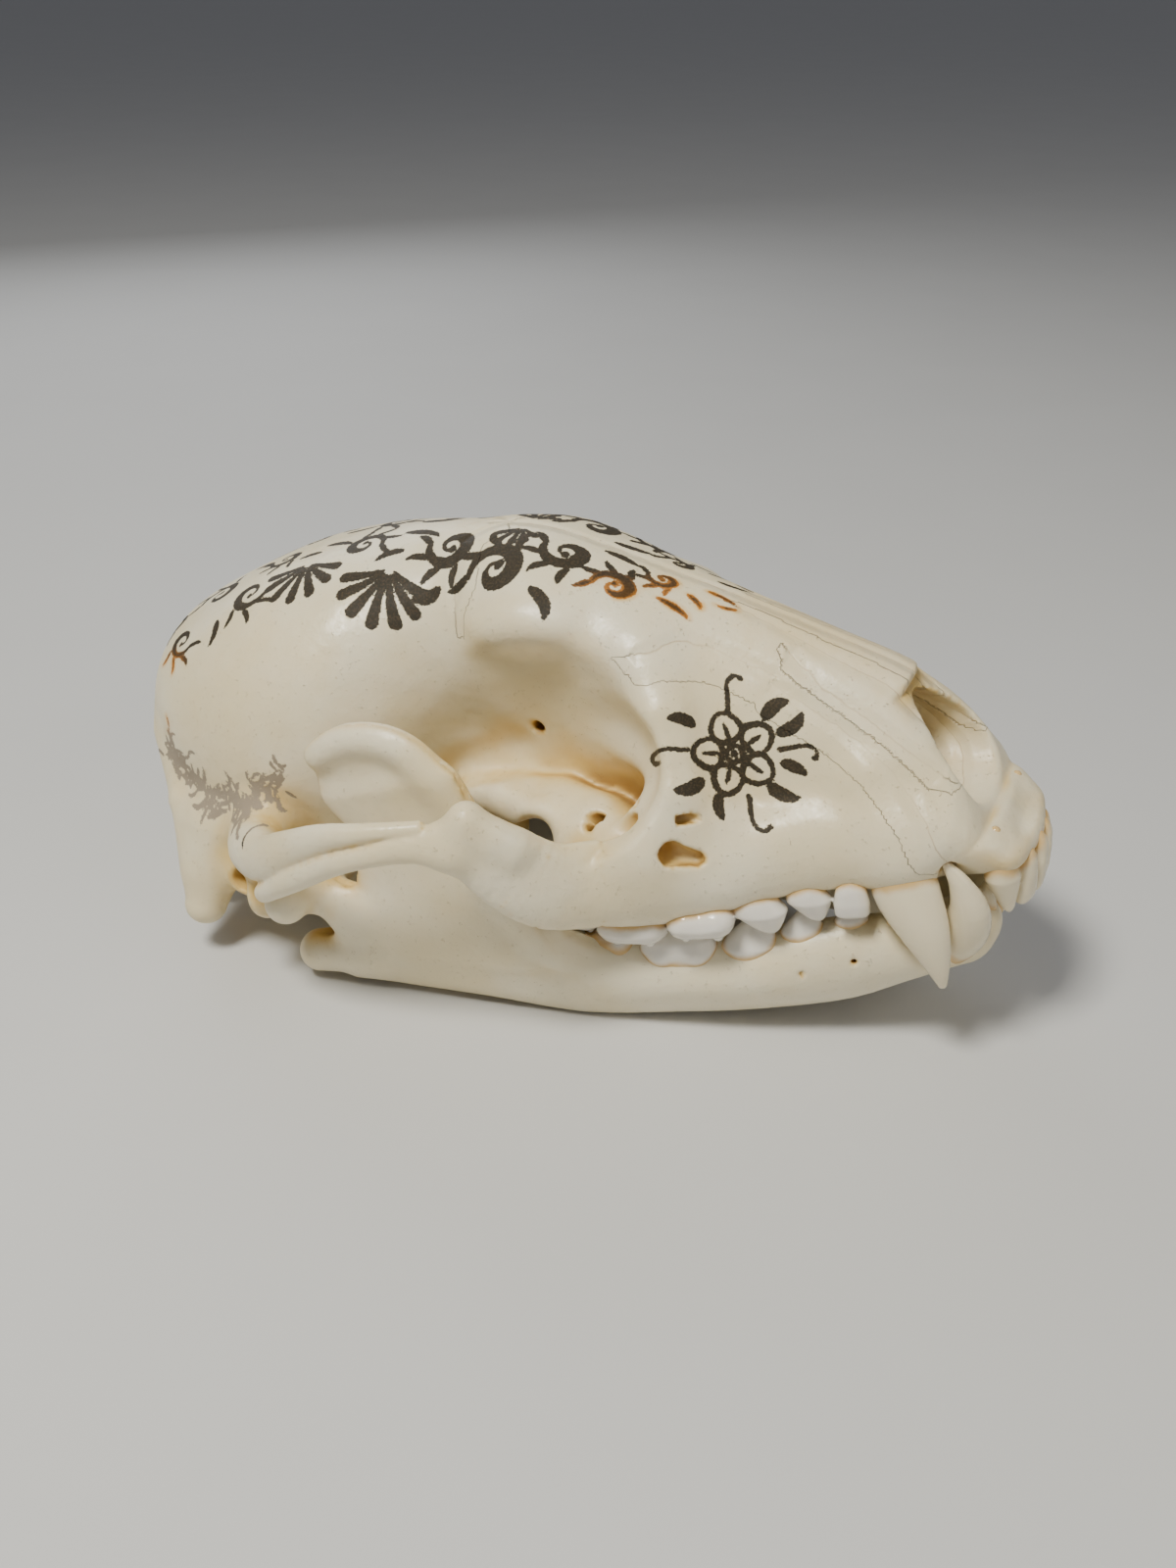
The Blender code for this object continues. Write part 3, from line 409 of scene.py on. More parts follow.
CORONOID_RIM = (  # thickened front and top edge of the blade that rises behind the eye: x, y, z, radius
    (-47.5, -18.6, -10.0, 2.4),
    (-51.6, -21.2, -5.4, 2.2),
    (-54.0, -22.4, -0.8, 1.9),
    (-56.8, -23.6, 4.6, 1.6),
    (-58.6, -25.0, 13.0, 1.3),
    (-61.6, -25.9, 19.2, 1.3),
    (-65.5, -26.3, 22.6, 1.2),
    (-71.0, -26.5, 23.0, 1.2),
    (-75.8, -26.4, 20.8, 1.1),
)


def mandible(p):
    """The right half of the lower jaw, without its teeth."""
    d = strip(p, (
        (-5.4, -2.6, -7.6, 2.0, 2.3),
        (-9.0, -5.2, -8.5, 2.9, 3.2),
        (-13.2, -7.2, -10.1, 3.8, 3.3),
        (-20.0, -9.6, -11.6, 4.7, 3.3),
        (-30.0, -12.2, -12.3, 5.0, 3.4),
        (-40.0, -14.8, -12.2, 5.2, 3.4),
        (-50.0, -18.0, -11.3, 5.4, 2.9),
        (-60.0, -21.0, -8.2, 5.9, 2.3),
        (-70.0, -23.0, -6.2, 6.2, 1.9),
        (-78.0, -24.3, -5.4, 5.8, 1.7),
    ))
    d = smooth_union(d, bar(p, (-6.2, -2.6, -8.2, 2.1), (-15.0, -3.2, -12.2, 2.8)), 3.0)
    ridge = strip(p, (
        (-6.6, -5.6, -9.0, 2.6, 2.8),
        (-12.0, -8.6, -8.6, 2.7, 2.2),
        (-19.0, -10.7, -8.2, 2.9, 2.2),
        (-26.0, -12.4, -9.8, 2.8, 2.5),
        (-32.0, -14.0, -10.9, 2.6, 2.8),
        (-40.0, -15.9, -10.8, 2.5, 2.9),
        (-50.0, -17.9, -10.8, 2.4, 2.6),
    ))
    d = smooth_union(d, ridge, 4.0)
    blade = strip(p, (
        (-66.5, -22.8, -6.0, 12.5, 1.8),
        (-65.4, -24.2, 3.0, 10.2, 1.3),
        (-65.4, -25.3, 11.0, 8.9, 1.1),
        (-66.6, -26.0, 17.0, 8.4, 1.0),
    ), up=(1, 0, 0))
    d = smooth_union(d, blade, 2.5)
    d = smooth_union(d, ellipsoid(p, (-68.0, -26.1, 17.4), (8.7, 1.1, 6.6)), 2.0)
    rim = through(CORONOID_RIM, 4)
    d = smooth_union(d, bar(p, *rim), 2.4)
    d = smooth_union(d, condyle(p), 1.0)
    d = smooth_union(d, bar(p, (-76.5, -24.0, -3.0, 2.8), (-81.6, -24.4, 1.2, 2.4)), 2.5)
    d = smooth_union(d, bar(p, (-75.5, -23.4, -7.4, 3.2), (-83.6, -24.4, -7.8, 2.7)), 1.5)
    d = smooth_cut(d, bar(p, (-89.0, -24.4, -2.9, 1.9), (-80.2, -24.2, -4.0, 0.8)), 0.8)
    d = smooth_cut(d, uppers(p) - BITE_GAP, 0.8)
    return np.maximum(d, p[:, 1] + GAP / 2)


UPPER_CANINE = (  # root to tip: x, y, z, half length along the jaw, half thickness
    (-15.0, -9.2, 9.0, 2.2, 1.8),
    (-12.6, -11.0, 4.4, 3.3, 2.5),
    (-11.5, -12.0, 0.6, 3.8, 2.7),
    (-9.6, -12.7, -3.8, 3.0, 2.3),
    (-8.4, -12.8, -7.8, 1.8, 1.5),
    (-7.8, -12.6, -11.2, 0.6, 0.6),
)
LOWER_CANINE = (
    (-10.4, -6.8, -10.9, 1.8, 1.5),
    (-8.6, -7.4, -9.8, 2.6, 2.0),
    (-6.0, -8.8, -6.4, 2.8, 2.2),
    (-4.9, -10.2, -2.6, 2.3, 1.9),
    (-5.6, -11.1, 1.2, 1.3, 1.1),
    (-7.0, -11.4, 3.8, 0.5, 0.5),
)
UPPER_TEETH = (  # kind, x, y, z of the neck, length along the row, width, crown's height, turn of the row
    ("blade", 1.1, -1.6, 1.7, 2.9, 2.6, 6.0, 84.0),
    ("blade", 0.3, -4.7, 1.4, 3.1, 2.8, 5.8, 68.0),
    ("point", -1.8, -7.6, 1.9, 4.2, 3.6, 6.5, 46.0),
    ("peg", -17.4, -13.3, 0.6, 4.1, 3.0, 3.6, 14.0),
    ("point", -22.5, -13.9, 0.2, 5.2, 3.6, 4.0, 14.0),
    ("point", -28.0, -15.6, -0.8, 6.4, 4.6, 4.2, 16.0),
    ("broad", -34.4, -17.0, -1.4, 8.2, 7.8, 3.2, 14.0),
    ("broad", -42.4, -17.7, -2.3, 8.8, 8.6, 3.2, 4.0),
    ("broad", -49.4, -16.0, -2.8, 5.6, 7.4, 2.6, -12.0),
)
LOWER_TEETH = (
    ("blade", -3.9, -1.3, -7.2, 2.0, 2.1, 4.7, 86.0),
    ("blade", -4.3, -3.4, -7.2, 2.2, 2.2, 4.8, 74.0),
    ("blade", -5.4, -5.4, -7.2, 2.3, 2.2, 4.8, 56.0),
    ("peg", -13.4, -9.4, -6.4, 2.6, 2.0, 1.8, 14.0),
    ("point", -18.6, -10.7, -5.6, 4.1, 2.5, 3.2, 14.0),
    ("point", -24.2, -12.3, -7.0, 5.2, 3.2, 4.6, 14.0),
    ("point", -30.3, -14.0, -8.4, 6.9, 4.8, 5.2, 14.0),
    ("broad", -38.2, -15.8, -8.6, 9.4, 5.8, 4.6, 12.0),
    ("broad", -47.4, -17.3, -8.4, 8.4, 5.0, 3.6, 14.0),
)
NECK_DEPTH = 0.3   # how far a crown goes on into the bone, as part of its height
CROWNS = {  # outline of a crown: part of its height, and of its half length and half width there
    "blade": (
        (-0.3, 0.5, 0.7), (0.0, 0.68, 0.95), (0.3, 0.86, 1.0),
        (0.7, 1.0, 0.74), (0.9, 0.96, 0.46), (1.0, 0.8, 0.3),
    ),
    "peg": (
        (-0.3, 0.7, 0.7), (0.0, 0.86, 0.88), (0.4, 1.0, 1.0), (0.8, 0.98, 0.84), (1.0, 0.74, 0.5),
    ),
    "point": (
        (-0.3, 0.7, 0.7), (0.0, 0.88, 0.9), (0.22, 1.0, 1.0),
        (0.5, 0.74, 0.74), (0.8, 0.4, 0.44), (1.0, 0.16, 0.18),
    ),
    "broad": (
        (-0.3, 0.78, 0.78), (0.0, 0.92, 0.92), (0.3, 1.0, 1.0),
        (0.6, 0.92, 0.9), (0.76, 0.7, 0.66), (0.9, 0.3, 0.3),
    ),
}
TRAITS = {  # how square it is seen from its tip, how far the tip leans along the row, root's length and lean
    "blade": (2.6, 0.0, 2.3, 1.6),
    "peg": (3.2, 0.0, 3.6, 0.8),
    "point": (2.2, 0.24, 4.0, 0.8),
    "broad": (3.0, 0.0, 4.0, 0.8),
}
CUSPS = (  # of a broad tooth: along the row and across it as parts of its half sizes, height, thickness
    (0.48, 0.5, 0.98, 0.46),
    (-0.42, 0.52, 0.94, 0.48),
    (0.42, -0.46, 0.86, 0.44),
    (-0.46, -0.42, 0.78, 0.44),
)


def upper_canine(p):
    return strip(p, UPPER_CANINE, up=(1, 0, 0))


def lower_canine(p):
    return strip(p, LOWER_CANINE, up=(1, 0, 0))


def tooth(p, spec, down):
    """One tooth: a crown that follows its kind's outline, cusps on a broad one, and a root into the bone."""
    kind, x, y, neck, length, width, height, turn = spec
    square, forward, root, lean = TRAITS[kind]
    c, s = math.cos(math.radians(turn)), math.sin(math.radians(turn))
    local = p - np.array((x, y, neck), p.dtype)
    along = local[:, 0] * c + local[:, 1] * s
    across = local[:, 0] * s - local[:, 1] * c
    local = np.stack([along, across, local[:, 2] * down], axis=1)
    rise = local[:, 2] / height
    rises, lengths, widths = zip(*CROWNS[kind])
    long = 0.5 * length * np.interp(rise, rises, lengths).astype(p.dtype)
    wide = 0.5 * width * np.interp(rise, rises, widths).astype(p.dtype)
    along = along - forward * length * np.clip(rise, 0.0, 1.0)
    reach = ((np.abs(along) / long) ** square + (np.abs(across) / wide) ** square) ** (1.0 / square)
    ends = np.maximum(local[:, 2] - height, -local[:, 2] - NECK_DEPTH * height)
    d = smooth_cut((reach - 1.0) * np.minimum(long, wide), -ends, 1.0)
    r = min(length, width) / 2
    if kind == "broad":
        for fore, aside, top, thick in CUSPS:
            foot = (fore * length / 2, aside * width / 2)
            cusp = bar(local, (*foot, 0.2 * height, thick * r), (*foot, top * height - 0.16 * r, 0.16 * r))
            d = smooth_union(d, cusp, 0.8)
    return smooth_union(d, bar(local, (0, 0, 0, 0.6 * r), (0, -lean, -root, 0.35 * r)), 1.2)


def uppers(p):
    d = upper_canine(p)
    for spec in UPPER_TEETH:
        low, high = tooth_box(spec, -1)
        d = np.minimum(d, within(p, low, high, lambda q, spec=spec: tooth(q, spec, -1)))
    return d


def clear(p, d):
    return smooth_cut(d, uppers(p) - BITE_GAP, 0.4)


def tooth_box(spec, down):
    kind, x, y, neck, length, width, height, _ = spec
    _, forward, root, lean = TRAITS[kind]
    reach = math.hypot(length, width) / 2 + 0.8 + max(lean, forward * length)
    low, high = sorted((neck - down * max(root, 0.5 * height), neck + down * height))
    return (x - reach, y - reach, low - 2.5), (x + reach, y + reach, high + 2.5)


def strip_box(points):
    rows = np.asarray(points)
    thick = rows[:, 3:].max() + 0.6
    return rows[:, :3].min(axis=0) - thick, rows[:, :3].max(axis=0) + thick


def small_holes(p, d):
    """Holes too fine for the solids: in the eye socket's wall and floor, above the canal, and in the jaw."""
    for hole in SMALL_HOLES:
        d = smooth_cut(d, bar(p, *hole), 0.5)
    return d


def fine_cranium(p):
    """The upper skull with its cheek bones grown on, and a crease where they meet."""
    q = folded(p)
    d = small_holes(q, cranium(p))
    return smooth_union(d, jugal(q) - GAP - CREASE, 0.3)


def fine_mandible(p):
    return small_holes(p, mandible(p))


def lowers(p):
    """All the lower teeth of the right side."""
    d = lower_canine(p)
    for spec in LOWER_TEETH:
        low, high = tooth_box(spec, 1)
        d = np.minimum(d, within(p, low, high, lambda q, spec=spec: tooth(q, spec, 1)))
    return clear(p, d)


def in_parts(field, points):
    parts = np.array_split(points.astype(np.float32), 1 + len(points) // 200_000)
    return np.concatenate([field(part) for part in parts])


def sampled(field, low, high, step):
    """The field on a grid, worked out only in the blocks of cells that its surface may cross."""
    blocks = np.ceil((np.asarray(high) - low) / (BLOCK * step) - 1e-6).astype(int)
    ticks = [(np.arange(n) + 0.5) * BLOCK * step for n in blocks]
    centres = np.stack(np.meshgrid(*ticks, indexing="ij"), axis=-1)
    coarse = in_parts(field, (centres + low).reshape(-1, 3)).reshape(blocks)
    near = np.abs(coarse) < 1.4 * BLOCK * step
    values, mask = np.empty(blocks * BLOCK + 1, np.float32), np.zeros(blocks * BLOCK + 1, bool)
    for corner in np.ndindex(2, 2, 2):
        part = tuple(slice(i, i + n * BLOCK) for i, n in zip(corner, blocks))
        for target, source in ((values, np.where(coarse < 0, -FAR, FAR)), (mask, near)):
            spread = source.repeat(BLOCK, 0).repeat(BLOCK, 1).repeat(BLOCK, 2)
            target[part] = spread if target is values else target[part] | spread
    nodes = np.argwhere(mask)
    values[mask] = in_parts(field, low + step * nodes)
    return values


def nets(values, low, step):
    """Vertices and quads of the surface in a grid of values, one vertex in each cell that it crosses."""
    inside = values < 0
    cells_shape = np.array(values.shape) - 1
    corners = [np.array(corner) for corner in np.ndindex(2, 2, 2)]

    def shifted(grid, corner):
        return grid[tuple(slice(i, i + n) for i, n in zip(corner, cells_shape))]

    total = sum(shifted(inside, corner).astype(np.int8) for corner in corners)
    cells = np.argwhere((total > 0) & (total < 8))
    number = np.full(cells_shape, -1)
    number[tuple(cells.T)] = np.arange(len(cells))
    sums, hits = np.zeros((len(cells), 3)), np.zeros((len(cells), 1))
    for corner in corners:
        for axis in range(3):
            if corner[axis]:
                continue
            far = corner + np.eye(3, dtype=int)[axis]
            a, b = values[tuple((cells + corner).T)], values[tuple((cells + far).T)]
            crossed = (a < 0) != (b < 0)
            spot = corner + np.eye(3)[axis] * (a / np.where(crossed, a - b, 1))[:, None]
            sums += spot * crossed[:, None]
            hits += crossed[:, None]
    quads = []
    for axis in range(3):
        u, v = np.eye(3, dtype=int)[(axis + 1) % 3], np.eye(3, dtype=int)[(axis + 2) % 3]
        start, end = [slice(None)] * 3, [slice(None)] * 3
        start[axis], end[axis] = slice(None, -1), slice(1, None)
        at = np.argwhere(inside[tuple(start)] != inside[tuple(end)])
        ring = np.stack([number[tuple((at - step_back).T)] for step_back in (0 * u, u, u + v, v)], axis=1)
        outward = inside[tuple(at.T)]
        ring[~outward] = ring[~outward][:, ::-1]
        quads.append(ring)
    return low + step * (cells + sums / hits), np.vstack(quads)


def slope(field, points):
    """The field's direction of growth at each point, of length one."""
    shifts = np.eye(3) * PROBE
    found = [in_parts(field, points + shift) - in_parts(field, points - shift) for shift in shifts]
    found = np.stack(found, axis=1)
    return found / np.maximum(np.linalg.norm(found, axis=1, keepdims=True), 1e-6)


def halved(points, quads, values):
    """Each quad as four, with values carried along."""
    pairs = np.sort(np.stack([quads, np.roll(quads, -1, axis=1)], axis=2).reshape(-1, 2), axis=1)
    keys, index = np.unique(pairs[:, 0] * len(points) + pairs[:, 1], return_inverse=True)
    a, b = keys // len(points), keys % len(points)
    middle = len(points) + index.reshape(-1, 4)
    centre = len(points) + len(keys) + np.arange(len(quads))
    rows = [(quads[:, i], middle[:, i], centre, middle[:, i - 1]) for i in range(4)]
    quads_out = np.concatenate([np.stack(row, axis=1) for row in rows])
    grown = [np.concatenate([v, (v[a] + v[b]) / 2, v[quads].mean(axis=1)]) for v in (points, *values)]
    return quads_out, grown


def deepness(field, points, normals):
    """How far each point lies in a hollow: 0 on a flat or rounded spot, towards 1 deep inside; the bone's
    colour uses it for staining and painted shade.
    """
    found = np.zeros(len(points))
    for reach in HOLLOW_REACH:
        found += np.clip((reach - in_parts(field, points + normals * reach)) / reach, 0.0, 1.0)
    return found / len(HOLLOW_REACH)


def surface(field, low, high, step, halves=1, mirror=False):
    """Fine mesh of a field's surface: points, quads, and how hollow each point lies."""
    values = sampled(field, np.asarray(low, float), high, step)
    if mirror:
        values = np.concatenate([values, values[:, -2::-1]], axis=1)
    points, quads = nets(values, np.asarray(low, float), step)
    for _ in range(2):
        normals = slope(field, points)
        points = points - normals * np.clip(in_parts(field, points), -step / 2, step / 2)[:, None]
    hollow = deepness(field, points, normals)
    for _ in range(halves):
        quads, (points, normals, hollow) = halved(points, quads, (normals, hollow))
        points = points - normals * np.clip(in_parts(field, points), -step / 4, step / 4)[:, None]
    return points, quads, hollow


def mesh_object(name, points, quads, attributes):
    mesh = bpy.data.meshes.new(name)
    mesh.vertices.add(len(points))
    mesh.vertices.foreach_set("co", np.asarray(points, np.float32).ravel())
    mesh.loops.add(4 * len(quads))
    mesh.loops.foreach_set("vertex_index", quads.astype(np.int32).ravel())
    mesh.polygons.add(len(quads))
    mesh.polygons.foreach_set("loop_start", np.arange(0, 4 * len(quads), 4, dtype=np.int32))
    mesh.update(calc_edges=True)
    mesh.shade_smooth()
    for key, numbers in attributes.items():
        attribute = mesh.attributes.new(key, "FLOAT", "POINT")
        attribute.data.foreach_set("value", np.asarray(numbers, np.float32))
    piece = bpy.data.objects.new(name, mesh)
    bpy.context.scene.collection.objects.link(piece)
    return piece


def course(start, heading, length, bends, count=18):
    """Points of a curve from a place and a heading in degrees, and how far along each is, from 0 to 1.

    The curve bends by bends[0] at its start and bends[1] at its end, in degrees for each millimetre.
    """
    t = np.linspace(0.0, 1.0, count)
    turn = np.radians(heading) + np.radians(length * (bends[0] * t + (bends[1] - bends[0]) * t**3 / 3))
    steps = np.stack([np.cos(turn), np.sin(turn)], axis=1)[:-1] * length / (count - 1)
    return np.vstack([start, start + np.cumsum(steps, axis=0)]), t


def leaf(u, v, heading, length, width, bend=0.0):
    """A drop that is fullest near its foot and runs out to a point."""
    points, t = course(np.array((u, v)), heading, length, (bend, bend * 2.5), 10)
    return [np.column_stack([points, width * 2.1 * (t + 0.03) ** 0.5 * (1.0 - t) ** 0.8 + 0.05])]


def spiral(u, v, size, start, turns, width):
    """A crescent that winds in to a round drop, clockwise where turns is negative, with leaves outside."""
    t = np.linspace(0.0, 1.0, 26)
    way = np.radians(start + 360 * turns * t)
    reach = size * (1.0 - 0.8 * t**0.85)
    radius = width * (0.22 + 0.85 * np.sin(np.pi * np.minimum(1.2 * t + 0.04, 1.0)))
    radius[-1] = 0.75 * width
    points = np.array((u, v)) + reach[:, None] * np.stack([np.cos(way), np.sin(way)], axis=1)
    strokes = [np.column_stack([points, radius])]
    side = math.copysign(1.0, turns)
    for aside in (4, 46, 88, 130):
        out = start + side * aside
        away = 0.98 * size + 0.3 * width
        foot = (u + away * math.cos(math.radians(out)), v + away * math.sin(math.radians(out)))
        strokes += leaf(*foot, out - side * 52, 0.85 * size, 0.5 * width, side * 16)
    return strokes


def fan(u, v, heading, petals, length, spread, width):
    """A palmette: petals that widen outwards from one foot."""
    strokes = []
    for number in range(petals):
        aside = number / (petals - 1) - 0.5
        reach = length * (1.0 - 0.7 * aside**2)
        points, t = course(np.array((u, v)), heading + aside * spread, reach, (aside * 9.0, 0.0), 10)
        points += (points[1] - points[0]) * 1.6
        strokes.append(np.column_stack([points, width * (0.2 + 0.8 * t**0.8)]))
    return strokes


def crown_ornament():
    """Scrolls, palmettes and leaves on the braincase and forehead: along x, and across from the midline."""
    strokes = []
    for u, v, size, start, turns, width in (
        (-107.0, 12.0, 3.0, 200.0, -1.2, 0.5),
        (-101.6, 17.6, 2.6, 20.0, 1.2, 0.45),
        (-99.6, 8.6, 3.4, 160.0, 1.25, 0.6),
        (-91.6, 11.6, 3.0, -10.0, 1.2, 0.55),
        (-90.6, 3.6, 2.4, 170.0, -1.2, 0.5),
        (-78.0, 4.4, 2.8, 10.0, -1.25, 0.6),
        (-65.2, 5.0, 3.2, 190.0, -1.3, 0.8),
        (-57.8, 9.0, 3.6, 170.0, 1.3, 0.95),
        (-50.6, 4.6, 3.0, 200.0, -1.25, 0.8),
        (-44.2, 8.0, 2.5, 170.0, 1.2, 0.7),
        (-39.8, 3.4, 1.9, 190.0, -1.2, 0.5),
    ):
        strokes += spiral(u, v, size, start, turns, width)
    for u, v, heading, petals, length, spread, width in (
        (-84.6, 7.4, 84.0, 7, 5.2, 132.0, 0.62),
        (-72.0, 8.8, 96.0, 7, 5.8, 120.0, 0.7),
        (-105.0, 4.4, 200.0, 5, 3.6, 100.0, 0.45),
        (-57.4, 1.6, 90.0, 5, 2.8, 110.0, 0.42),
    ):
        strokes += fan(u, v, heading, petals, length, spread, width)
    for u, v, heading, length, width, bend in (
        (-97.0, 2.0, 8.0, 4.6, 0.5, 6.0),
        (-95.4, 15.6, 60.0, 3.6, 0.45, 12.0),
        (-84.6, 2.4, 0.0, 4.4, 0.5, 6.0),
        (-84.6, 4.6, 178.0, 3.0, 0.4, -10.0),
        (-73.0, 2.0, -4.0, 5.4, 0.55, 6.0),
        (-71.6, 6.0, 172.0, 3.6, 0.5, -12.0),
        (-65.4, 10.6, 128.0, 3.6, 0.65, 14.0),
        (-52.6, 11.4, 24.0, 4.6, 0.7, 14.0),
        (-47.0, 1.6, 4.0, 4.4, 0.5, 4.0),
        (-39.4, 7.6, 14.0, 4.2, 0.55, 8.0),
        (-36.6, 5.0, 34.0, 2.8, 0.4, 12.0),
        (-34.8, 2.4, 6.0, 3.6, 0.4, 8.0),
        (-31.4, 4.8, 150.0, 2.2, 0.35, 18.0),
    ):
        strokes += leaf(u, v, heading, length, width, bend)
    return strokes


def blossom():
    """A five-petalled field flower with leaves and tendrils, for the cheek."""
    strokes = []
    ring = np.radians(np.linspace(0, 360, 19))
    round_line = np.column_stack([np.cos(ring), np.sin(ring), np.zeros(len(ring))])
    strokes.append(round_line * (1.05, 1.05, 0.0) + (0, 0, 0.24))
    strokes.append(round_line * (0.2, 0.2, 0.0) + (0, 0, 0.24))
    for petal in range(5):
        way = math.radians(98 + 72 * petal)
        c, s = math.cos(way), math.sin(way)
        edge = round_line * (1.85, 1.9, 0.0) + (3.25, 0, 0.0)
        edge[:, 0] += 0.25 * np.cos(2 * ring)
        turned = edge[:, :2] @ np.array(((c, s), (-s, c)))
        strokes.append(np.column_stack([turned, 0.22 + 0.14 * np.sin(ring / 2 + petal) ** 2]))
        strokes += leaf(2.0 * c, 2.0 * s, math.degrees(way), 2.1, 0.22)
    for u, v, heading, length, width, bend in (
        (4.6, 3.8, 52.0, 3.8, 0.85, -14.0),
        (5.8, 1.6, 6.0, 4.0, 0.8, 12.0),
        (3.4, -4.6, -60.0, 4.0, 0.85, 12.0),
        (5.4, -2.2, -22.0, 3.2, 0.7, -10.0),
        (-5.0, -2.6, 214.0, 4.0, 0.85, -12.0),
        (-3.2, -4.8, 246.0, 3.2, 0.7, 12.0),
        (-4.4, 4.4, 136.0, 3.4, 0.75, 12.0),
    ):
        strokes += leaf(u, v, heading, length, width, bend)
    for u, v, heading, length, bends, width in (
        (0.6, -5.6, 262.0, 6.0, (-4.0, 96.0), 0.3),
        (0.4, 5.6, 76.0, 5.6, (8.0, -104.0), 0.3),
        (-5.8, 1.4, 170.0, 5.4, (-6.0, 104.0), 0.28),
        (5.4, -0.4, -6.0, 5.6, (8.0, -104.0), 0.28),
    ):
        points, t = course(np.array((u, v)), heading, length, bends)
        strokes.append(np.column_stack([points, width * (0.9 - 0.35 * t + 0.5 * (t == 1.0))]))
    return strokes


def sketch():
    """A band of small, thin leaves low on the back of the braincase."""
    pick = np.random.default_rng(7)
    band = np.array((
        (-103.6, 18.6), (-101.0, 15.2), (-97.0, 12.8),
        (-92.0, 12.4), (-87.4, 13.8), (-84.6, 16.2),
    ))
    strokes = []
    for _ in range(150):
        t = pick.uniform(0, len(band) - 1.001)
        spot = band[int(t)] + (band[int(t) + 1] - band[int(t)]) * (t % 1.0) + pick.normal(0.0, 1.05, 2)
        length, heading = pick.uniform(1.2, 2.6), pick.uniform(0, 360)
        strokes += leaf(*spot, heading, length, pick.uniform(0.07, 0.14), pick.uniform(-40, 40))
    return strokes


def drawn(strokes, places, near):
    """Distance from each place on the surface to the nearest stroke's edge, negative inside it."""
    found = np.full(len(places), NO_INK)
    numbers = np.flatnonzero(near)
    spots = places[numbers]
    for rows in strokes:
        edge = rows[:, 2].max() + 1.0
        least, most = rows[:, :2].min(axis=0) - edge, rows[:, :2].max(axis=0) + edge
        close = np.all((spots > least) & (spots < most), axis=1)
        chosen = numbers[close]
        part = spots[close]
        for a, b in zip(rows, rows[1:]):
            along = b[:2] - a[:2]
            t = np.clip((part - a[:2]) @ along / max(along @ along, 1e-9), 0.0, 1.0)
            away = np.linalg.norm(part - a[:2] - t[:, None] * along, axis=1) - (a[2] + (b[2] - a[2]) * t)
            found[chosen] = np.minimum(found[chosen], away)
    return found


def inked(points):
    """Distance to the nearest ink, for each point of the skull."""
    x, y, z = points.T
    across = np.abs(np.arctan2(np.abs(y), z - DOME_AXIS)) * DOME_REACH
    ink = drawn(crown_ornament(), np.column_stack([x, across]), (z > 20.0) & (x < -30.0))
    ink = np.minimum(ink, drawn(sketch(), np.column_stack([x, z]), (y < -16.0) & (x < -80.0)))
    local = (points - CHEEK) @ np.array((CHEEK_ALONG, CHEEK_DOWN)).T
    on_cheek = (y < -5.0) & (np.abs(local).max(axis=1) < CHEEK_REACH)
    return np.minimum(ink, drawn(blossom(), CHEEK_SCALE * local * (1, -1), on_cheek) / CHEEK_SCALE)


def spotted(points, spots):
    """How strongly each point is marked by soft round spots (x, y, z, radius)."""
    found = np.zeros(len(points))
    for x, y, z, radius in spots:
        found = np.maximum(found, 1.0 - np.linalg.norm(points - (x, y, z), axis=1) / radius)
    return found


def seamed(points):
    """Distance from the nearest suture, with a sign that changes across it."""
    best = np.full(len(points), NO_INK)
    for axes, line, lowest in SEAMS:
        flat = np.abs(points[:, axes[1]]) if axes[1] == 1 else points[:, axes[1]]
        spots = np.column_stack([points[:, axes[0]], flat])
        for a, b in zip(np.array(line), np.array(line)[1:]):
            along = (b - a) / np.linalg.norm(b - a)
            offset = spots - a
            t = offset @ along
            past = np.maximum(np.maximum(-t, t - np.linalg.norm(b - a)), 0.0)
            across = offset @ np.array((-along[1], along[0]))
            value = across + np.copysign(past, across)
            value[points[:, 2] < lowest] = NO_INK
            nearer = np.abs(value) < np.abs(best)
            best[nearer] = value[nearer]
    return best


def placed(shells):
    """Tip the meshes back onto the jaw and stand them on the floor, in metres."""
    c, s = math.cos(NOSE_UP), math.sin(NOSE_UP)
    tip = np.array(((c, 0.0, -s), (0.0, 1.0, 0.0), (s, 0.0, c)))
    turned = [points @ tip.T for points in shells]
    ends = np.vstack([points[:, (0, 2)] for points in turned])
    shift = np.array((-(ends[:, 0].min() + ends[:, 0].max()) / 2, 0.0, -ends[:, 1].min()))
    return [(points + shift) * MM for points in turned]


